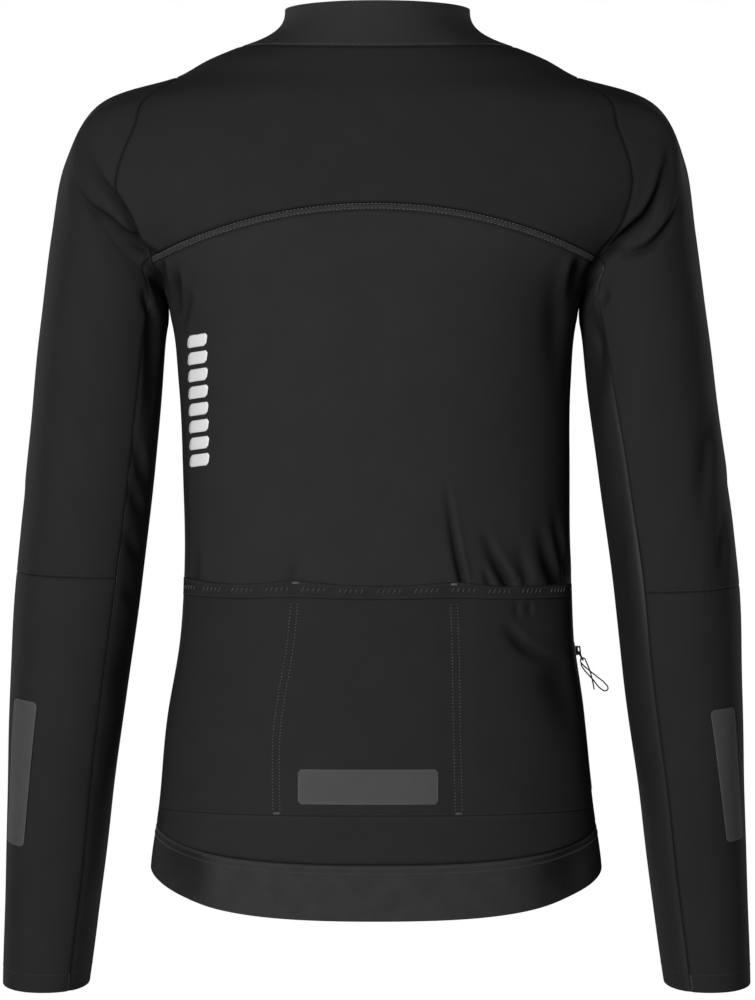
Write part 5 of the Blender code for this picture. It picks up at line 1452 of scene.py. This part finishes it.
def make_film():
    """Retroreflective film: a fine regular grain of beads, and a slightly paler grey towards its edge."""
    material, shader, w = new_material("reflective_film", roughness=0.75, gloss=0.15)
    place = w.node("ShaderNodeUVMap", uv_map="cloth").outputs[0]
    beads = w.node("ShaderNodeTexVoronoi", feature="F1")
    beads.inputs["Scale"].default_value = 2600
    w.link(place, beads.inputs["Vector"])
    rim = w.node("ShaderNodeAttribute", attribute_name="crease").outputs["Fac"]
    shade = w.mixed(0.55, w.noise(place, 90, 3), rim)
    w.link(w.shade(shade, (0.059, 0.059, 0.060), (0.089, 0.089, 0.090)), shader.inputs["Base Color"])
    w.link(w.relief(beads.outputs["Distance"], 0.00003), shader.inputs["Normal"])
    return material


FILM_FINISH = make_film()


def film_strip(name, node, cloth, place_at, width, length, out):
    """A rounded strip on a cloth.  place_at turns shares across and up into rows and columns."""
    corner, fine = STRIP_ROUND / length, STRIP_FINE_CELL / length
    ups = edged(spaced(0, 1, STRIP_CELL / length, (0, corner, fine), (1 - corner, 1, fine)))
    acrosses = edged(np.linspace(0, 1, max(8, round(width / STRIP_CELL))))
    into = np.clip(STRIP_ROUND - np.minimum(ups, 1 - ups) * length, 0, STRIP_ROUND)
    pulled = (STRIP_ROUND - np.sqrt(STRIP_ROUND ** 2 - into ** 2)) / width
    across = pulled[:, None] + (1 - 2 * pulled[:, None]) * acrosses[None]
    up = np.broadcast_to(ups[:, None], across.shape)
    points, normals = on_cloth(cloth, *place_at(across, up), out)
    rim = np.minimum(np.minimum(across - pulled[:, None], 1 - pulled[:, None] - across) * width,
                     np.minimum(up, 1 - up) * length)
    strip = Cloth(points, normals, np.exp(-rim / STRIP_RIM))
    piece = shell(name, strip, FILM, FILM_FINISH, inset=0)
    put_on(piece, node, cut_size(points))


BACK_STRIP_LEFT = -0.0575
BACK_STRIP_RIGHT = 0.0440
BACK_STRIP_TOP = -0.533
BACK_STRIP_BOTTOM = -0.558


def back_strip_place(across, up):
    """Rows and columns of the pocket panel at shares across and up its strip."""
    level = BACK_STRIP_BOTTOM + (BACK_STRIP_TOP - BACK_STRIP_BOTTOM) * up
    x = BACK_STRIP_LEFT + (BACK_STRIP_RIGHT - BACK_STRIP_LEFT) * across
    rows = np.interp(level, PLAIN_LEVELS, np.arange(len(PLAIN_LEVELS)))
    columns = np.array([np.interp(xs, POCKET.points[int(row), :, 0], np.arange(POCKET.points.shape[1]))
                        for xs, row in zip(x, rows[:, 0])])
    return rows, columns


film_strip("back_reflective_strip", "strip_back", POCKET, back_strip_place, width=0.1025, length=0.025,
           out=SEAM_GAP + FILM)

# The lower and upper end of each forearm strip, with its two edges' angles round the sleeve in degrees.
StripEnd = namedtuple("StripEnd", "station outer_turn inner_turn")
SLEEVE_STRIPS = {
    "left": (StripEnd(8.13, 34, 66), StripEnd(9.52, 23, 57)),
    "right": (StripEnd(8.20, 41.5, 71), StripEnd(9.47, 30, 59)),
}
STRIP_LIFT = 0.0004


def sleeve_strip(side):
    """The strip along the outer side of a forearm."""
    low, high = SLEEVE_STRIPS[side]
    stations = station_stops(ELBOW_STATION[side], CUFF_STATION)
    round_angles = arm_angles(-UNDERARM, UNDERARM, OUTER_SHARES)

    def place_at(across, up):
        station, outer, inner = (start + (end - start) * up for start, end in zip(low, high))
        share = 1 - across if side == "left" else across
        turn = np.radians(outer + (inner - outer) * share) * UNDERARM / underarm_seam(side, station)
        columns = np.interp(turn, round_angles, np.arange(len(round_angles)))
        if side == "left":
            columns = len(round_angles) - 1 - columns
        return np.interp(station, stations, np.arange(len(stations))), columns

    film_strip(f"sleeve_{side}_reflective_strip", f"strip_sleeve_{side}", SLEEVES["forearm", side], place_at,
               width=0.018, length=0.107, out=SEAM_GAP + STRIP_LIFT + FILM)


for side in SLEEVE_STRIPS:
    sleeve_strip(side)

# ---------------------------------------------------------------- seams of the collar, hem and sleeves
# Rows of thread that hold the other seams: along the neck, round the hem's elastic, at the elbows
# and round the turned-up cuffs.

COLLAR_STITCH = 0.0018
HEM_STITCH_BANDS = ((0.0034, 0.0006), (0.0076, 0.0060))
ELBOW_STITCH = 0.0016
CUFF_HEM = 0.014
CUFF_TACK_IN = 0.0012
CUFF_TACK_ENDS = (CUFF_HEM - 0.0005, 0.0016)  # from the cuff's stitches down to near its edge
CUFF_TACK_COLUMN = 3
CUFF_TACK_POINTS = 12

runs = [edge_stitches(COLLAR, "bottom", COLLAR_STITCH, pitch=0.0024, fill=0.66, ends=3)]
thread_mesh("collar_seam_stitches", runs, PALE_THREAD, radius=0.00024)
runs = [band_stitches(HEM, "top", *band, pitch=0.0018) for band in HEM_STITCH_BANDS]
thread_mesh("hem_seam_stitches", runs, GREY_THREAD, radius=0.00022)
runs = [edge_stitches(cloth, "top", ELBOW_STITCH if which == "upper" else CUFF_HEM, pitch=0.0028, fill=0.66)
        for (which, side), cloth in SLEEVES.items()]
thread_mesh("sleeve_stitches", runs, THREAD, radius=0.00018)

runs = []
for side in ("left", "right"):
    cloth = SLEEVES["forearm", side]
    line = from_edge(cloth, side, CUFF_TACK_IN)
    middle = CUFF_TACK_COLUMN if side == "left" else cloth.points.shape[1] - 1 - CUFF_TACK_COLUMN
    ends = [from_edge(cloth, "top", gap)[middle] for gap in CUFF_TACK_ENDS]
    rows = np.linspace(*ends, CUFF_TACK_POINTS)
    columns = np.interp(rows, np.arange(len(line)), line)
    runs.append(stitches(cloth, rows, columns, pitch=0.0012, fill=0.30, lean=0.0020))
thread_mesh("cuff_bar_tacks", runs, PALE_THREAD, radius=0.00022)

# ---------------------------------------------------------------- front zip
# A long zip from the hem to the collar's rim: a woven tape behind each front, sewn on with one row of
# stitches, and a closed chain of moulded coils between them.

TAPE_EDGE = 0.0003
TAPE_OUT = 0.0140
TAPE_THICK = 0.0008
TAPE_BELOW = 0.0006
TAPE_COLUMNS = 7
CHAIN_THICK = 0.0026
CHAIN_TOP = 0.86  # the share of the collar's height at which the chain ends
STIFFENS = (NECK_LEVEL - 0.010, NECK_LEVEL + 0.004)  # from the front's cloth to the collar's
ZIP_HEM_POINTS = 16
ZIP_SEAM_POINTS = 8
ZIP_COLLAR_POINTS = 18
COIL_PITCH = 0.0013
COIL_REACH = 0.0023
COIL_PAST = 0.18  # how far past the middle a coil reaches, as a share of its reach
COIL_WIRE = 0.00048

TAPE_WEAVE = elastic_material("zip_tape_weave", 0.008, 0.022, ribs=700, relief=0.00012)


def make_coil_plastic():
    """Moulded black plastic, scuffed unevenly."""
    material, shader, w = new_material("zip_coil_plastic")
    place = w.node("ShaderNodeTexCoord").outputs["Object"]
    w.link(w.shade(w.noise(place, 300, 2), grey(0.007), grey(0.018)), shader.inputs["Base Color"])
    scuffs = w.math("ADD", w.math("MULTIPLY", w.noise(place, 900, 3), 0.25), 0.22)
    w.link(scuffs, shader.inputs["Roughness"])
    return material


COIL_PLASTIC = make_coil_plastic()


def zip_line(x, collar_end):
    """A line of the hem, front and collar at x from the middle, from the hem up to a share of the collar."""
    points = []
    turn = front_turn(abs(x), HEM_SEAM_LEVEL)
    for share in np.linspace(0, 1, ZIP_HEM_POINTS):
        level, tilt, _ = hem_line(share)
        points.append(torso(turn, hem_level(turn, level, tilt, 0)))
    points += [hem_seam(turn, share) for share in np.linspace(0, 1, ZIP_SEAM_POINTS)[1:-1]]
    points += [torso(front_turn(abs(x), level), level) for level in spaced(POCKET_BOTTOM, NECK_LEVEL, CELL)]
    points += [collar_point(collar_front_turn(abs(x), height), height)
               for height in np.linspace(0, collar_end, ZIP_COLLAR_POINTS)[1:]]
    return np.array(points) * np.array([math.copysign(1, x), 1, 1])


def zip_cloth(xs, collar_end):
    """The plain grid and the cloth of a strip along the front's edge, at places x from the middle."""
    grid = swayed(np.stack([zip_line(x, collar_end) for x in xs], axis=1))
    normals = outward(grid)
    collar = rise(*STIFFENS, grid[..., 2] + FRONT_NECK_DROP)
    push = waviness(grid) * (SWELL + (STIFF_SWELL - SWELL) * collar)
    return grid, Cloth(grid + normals * push[..., None], normals, np.zeros(grid.shape[:2]))


tape_out = -(SHELL + TAPE_BELOW)
for side, ends in (("right", (TAPE_OUT, TAPE_EDGE)), ("left", (-TAPE_EDGE, -TAPE_OUT))):
    plain, tape = zip_cloth(np.linspace(*ends, TAPE_COLUMNS), 1.0)
    piece = shell(f"front_zip_tape_{side}", tape, TAPE_THICK, TAPE_WEAVE, out=tape_out, inset=0)
    put_on(piece, f"zip_tape_{side}", cut_size(plain))

plain, chain = zip_cloth(np.array([COIL_REACH, 0.0, -COIL_REACH]), CHAIN_TOP)
along = lengths_along(plain[:, 1], 0)
coils = int(along[-1] / COIL_PITCH)
rows = np.interp((np.arange(coils) + 0.5) * along[-1] / coils, along, np.arange(len(plain)))
half = 0.5 / coils * len(plain)
chain_out = tape_out - TAPE_THICK / 2 + CHAIN_THICK / 2 - COIL_WIRE
runs = []
for column, shift in ((0.0, 0.0), (2.0, half)):
    starts, outs = on_cloth(chain, rows + shift, np.full(coils, column), chain_out)
    ends, _ = on_cloth(chain, rows + shift, np.full(coils, 1.0 + (column - 1.0) * COIL_PAST), chain_out)
    runs.append((starts, ends, outs))
piece = thread_mesh("front_zip_coils", runs, COIL_PLASTIC, radius=COIL_WIRE)
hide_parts("zip_chain")

FRONT_ZIP_STITCH = 0.0045
runs = [edge_stitches(FRONT[side], side, FRONT_ZIP_STITCH, pitch=0.0030, fill=0.66)
        for side in ("right", "left")]
thread_mesh("front_zip_stitches", runs, THREAD, radius=0.00020)

# ---------------------------------------------------------------- side pocket zip
# A short zip on the right front, ahead of the side seam: a tape, a chain of coils, a small slider and
# a tab with a thin cord through it.

SIDE_ZIP_COLUMN = 2
SIDE_TAPE_HALF = 0.21
SIDE_STITCH_COLUMNS = (0.6, 5.4)
SIDE_CHAIN_HALF = 0.055
SIDE_ZIP_TOP = -0.445
SIDE_ZIP_BOTTOM = -0.556
SIDE_CHAIN_THICK = 0.0014
SIDE_SLIDER_LEVEL = -0.4515


def side_zip_place(shares, levels):
    """Rows and columns of the right front at places of the side zip, shares counted from its middle."""
    places = (SIDE_ZIP_COLUMN + shares) / FRONT_COLUMNS
    columns = np.interp(places, FRONT_SHARES, np.arange(len(FRONT_SHARES)))
    rows = np.interp(levels, PLAIN_LEVELS, np.arange(len(PLAIN_LEVELS))) + POCKET_FIRST
    return np.meshgrid(rows, columns, indexing="ij")


levels = spaced(SIDE_ZIP_BOTTOM, SIDE_ZIP_TOP, 0.0025)
rows, columns = side_zip_place(np.linspace(-SIDE_TAPE_HALF, SIDE_TAPE_HALF, TAPE_COLUMNS), levels)
points, normals = on_cloth(FRONT["right"], rows, columns, SEAM_GAP + TAPE_THICK)
tape = Cloth(points, normals, np.zeros(points.shape[:2]))
piece = shell("side_zip_tape_cloth", tape, TAPE_THICK, TAPE_WEAVE, inset=0)
put_on(piece, "side_zip_tape", cut_size(points))
rows = np.arange(1, len(points) - 1)
runs = [stitches(tape, rows, np.full(len(rows), column), pitch=0.0026, fill=0.64)
        for column in SIDE_STITCH_COLUMNS]
thread_mesh("side_zip_stitches", runs, THREAD, radius=0.00018)

coils = int((SIDE_ZIP_TOP - SIDE_ZIP_BOTTOM) / COIL_PITCH)
levels = SIDE_ZIP_BOTTOM + (np.arange(coils) + 0.5) * COIL_PITCH
side_chain_out = 2 * SEAM_GAP + TAPE_THICK + SIDE_CHAIN_THICK
runs = []
for side in (-1, 1):
    shares = np.array([side * SIDE_CHAIN_HALF, -side * SIDE_CHAIN_HALF * COIL_PAST])
    rows, columns = side_zip_place(shares, levels + (side + 1) / 4 * COIL_PITCH)
    points, outs = on_cloth(FRONT["right"], rows, columns, side_chain_out - COIL_WIRE * 1.2)
    runs.append((points[:, 0], points[:, 1], outs[:, 0]))
piece = thread_mesh("side_zip_coils", runs, COIL_PLASTIC, radius=COIL_WIRE)
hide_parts("side_zip_chain")

# ---------------------------------------------------------------- sliders and tabs
# Black painted die castings.  The paint has rubbed thin along their edges and corners.


def make_wear_group():
    """Where paint rubs off: along edges that stand out, broken up by a fine noise."""
    group, start, end = new_group("edge_wear", [("Amount", "NodeSocketFloat", 0.5)],
                                  [("Mask", "NodeSocketFloat")])
    w = Wiring(group)
    point = w.node("ShaderNodeNewGeometry").outputs["Pointiness"]
    place = w.node("ShaderNodeTexCoord").outputs["Object"]
    edge = w.math("MULTIPLY", w.math("SUBTRACT", point, 0.53), 9.0)
    broken = w.math("MULTIPLY", edge, w.noise(place, 1400, 3))
    clamp = w.node("ShaderNodeClamp")
    w.link(w.math("MULTIPLY", broken, start.outputs["Amount"]), clamp.inputs["Value"])
    w.link(clamp.outputs[0], end.inputs["Mask"])
    return group


def make_painted_metal():
    """Black paint over a grey casting, rubbed through along its edges."""
    material, shader, w = new_material("black_painted_metal", gloss=0.35)
    mask = w.group(make_wear_group(), Amount=0.9).outputs["Mask"]
    w.link(w.shade(mask, grey(0.026), (0.12, 0.12, 0.115)), shader.inputs["Base Color"])
    w.link(mask, shader.inputs["Metallic"])
    grain = w.noise(w.node("ShaderNodeTexCoord").outputs["Object"], 2200, 2)
    w.link(w.math("ADD", w.math("MULTIPLY", grain, 0.15), 0.42), shader.inputs["Roughness"])
    w.link(w.relief(grain, 0.00002), shader.inputs["Normal"])
    return material


PAINTED_METAL = make_painted_metal()
for node in ("zip_slider", "zip_pull", "side_zip_slider", "side_zip_tab"):
    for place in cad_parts[node].material_slots:
        place.material = PAINTED_METAL

# ---------------------------------------------------------------- side pull cord
# A thin braided cord, bent through the side tab's window.  A narrow loop hangs from it, and the free
# end crosses the loop once.

CORD_DIAMETER = 0.0010
CORD_POINTS = 39

# Millimetres from the side slider: across to the back, out, and up.
CordPoint = namedtuple("CordPoint", "across out up")
CORD = [CordPoint(*row) for row in (
    (-1.8, 3.2, -9.8),
    (-2.0, 3.4, -11.6),
    (-2.8, 5.4, -15.6),
    (-4.4, 10.8, -23.0),
    (-6.0, 18.0, -32.4),
    (-6.2, 19.93, -33.42),
    (-5.8, 21.4, -33.0),
    (-5.2, 22.15, -31.66),
    (-4.4, 20.6, -28.4),
    (-2.6, 14.0, -21.4),
    (-1.3, 8.0, -15.4),
    (-0.5, 4.2, -11.2),
    (-0.1, 2.71, -8.55),
    (0.0, 2.78, -7.10),
    (0.0, 3.85, -6.11),
    (0.0, 5.30, -6.18),
    (0.1, 6.29, -7.25),
    (0.5, 7.0, -9.8),
    (1.1, 8.2, -14.0),
    (1.3, 9.6, -22.0),
    (0.8, 10.4, -30.8),
)]


def side_middle(level):
    """The middle of the side zip at a level."""
    step = (front_turn(FRONT_EDGE, SIDE_SLIDER_LEVEL) - SIDE_SEAM_TURN) / FRONT_COLUMNS
    return Vector(swayed(torso(SIDE_SEAM_TURN + SIDE_ZIP_COLUMN * step, level)))


def frame_at(below, here, above, out):
    """The frame of a slider at here, moved out from the cloth."""
    up = (above - below).normalized()
    across = Vector((here.x, here.y, 0)).cross(up).normalized()
    outward_here = up.cross(across).normalized()
    turned = Matrix((across, outward_here, up)).transposed().to_4x4()
    return Matrix.Translation(here + outward_here * out) @ turned


side_frame = frame_at(*(side_middle(SIDE_SLIDER_LEVEL + step) for step in (-0.004, 0, 0.004)), side_chain_out)
route = [side_frame @ (Vector(point) / 1000) for point in smooth_line(CORD, CORD_POINTS)]


def make_cord_braid():
    """A round braid: two sets of strands wound against each other along the cord."""
    material, shader, w = new_material("cord_braid", roughness=0.8, gloss=0.1)
    wave = w.node("ShaderNodeTexWave", wave_type="BANDS", bands_direction="Z")
    wave.inputs["Scale"].default_value = 420
    wave.inputs["Distortion"].default_value = 2.5
    w.link(w.node("ShaderNodeTexCoord").outputs["Object"], wave.inputs["Vector"])
    w.link(w.shade(wave.outputs["Fac"], grey(0.003), grey(0.013)), shader.inputs["Base Color"])
    w.link(w.relief(wave.outputs["Fac"], 0.00012), shader.inputs["Normal"])
    return material


curve = bpy.data.curves.new("side_pull_cord_braid", "CURVE")
curve.dimensions = "3D"
curve.bevel_depth = CORD_DIAMETER / 2
curve.bevel_resolution = 3
curve.resolution_u = 8
curve.use_fill_caps = True
spline = curve.splines.new("BEZIER")
spline.bezier_points.add(len(route) - 1)
for point, place in zip(spline.bezier_points, route):
    point.co = place
    point.handle_left_type = point.handle_right_type = "AUTO"
curve.materials.append(make_cord_braid())
cord = bpy.data.objects.new("side_pull_cord_braid", curve)
bpy.context.scene.collection.objects.link(cord)
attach(cord, "side_pull")
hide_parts("side_pull_cord")
cord_length = sum((b - a).length for a, b in zip(route, route[1:]))
tuple(route[0])

# ---------------------------------------------------------------- transfer marks
# A plain column of pale slanted bars, heat-pressed onto the lower back near the left armhole.

MARK_LEFT = -0.1405
MARK_WIDTH = 0.0150
MARK_TOP = -0.2160
MARK_STEP = 0.0125
MARK_HEIGHT = 0.0090
MARKS = 8
MARK_SLANT = 0.0016
MARK_LEAN = 0.0012
MARK_THICK = 0.00015
MARK_OUT = 0.00025  # its face, from the cloth
MARK_ROUND = 0.10  # how far the corners are drawn in, as a share of the width
PLACE_ROUNDS = 8


def make_transfer():
    """Matte white transfer ink, a little uneven where the weave shows through."""
    material, shader, w = new_material("white_transfer", roughness=0.6)
    weave = w.group(TWILL, Map=w.node("ShaderNodeUVMap", uv_map="cloth").outputs[0], Threads=1500)
    w.link(w.shade(weave.outputs["Shade"], grey(0.80), grey(0.92)), shader.inputs["Base Color"])
    w.link(w.relief(weave.outputs["Height"], 0.00002), shader.inputs["Normal"])
    return material


def back_place(x, z):
    """Rows and columns of the lower back at places seen from behind."""
    surface = LOWER_BACK.points
    rows, columns = np.zeros(x.shape), np.zeros(x.shape)
    for at in np.ndindex(x.shape):
        row = len(surface) / 2
        for _ in range(PLACE_ROUNDS):
            low = int(min(row, len(surface) - 2))
            share = row - low
            line = surface[low] * (1 - share) + surface[low + 1] * share
            column = np.interp(x[at], line[:, 0], np.arange(len(line)))
            near = int(round(column))
            row = np.interp(z[at], surface[:, near, 2], np.arange(len(surface)))
        rows[at], columns[at] = row, column
    return rows, columns


TRANSFER = make_transfer()
for k in range(MARKS):
    across, up = np.meshgrid(np.linspace(0, 1, 9), np.linspace(0, 1, 6))
    pull = MARK_ROUND * np.abs(2 * up - 1) ** 6
    across = pull + (1 - 2 * pull) * across
    x = MARK_LEFT + MARK_LEAN * k / MARKS + MARK_WIDTH * across + MARK_LEAN * up
    z = MARK_TOP - MARK_STEP * k - MARK_HEIGHT * (1 - up) + MARK_SLANT * (across - 0.5)
    points, normals = on_cloth(LOWER_BACK, *back_place(x, z), MARK_OUT)
    mark = Cloth(points, normals, np.zeros(points.shape[:2]))
    piece = shell(f"back_transfer_bar_{k + 1}", mark, MARK_THICK, TRANSFER, inset=0)
    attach(piece, "jacket")
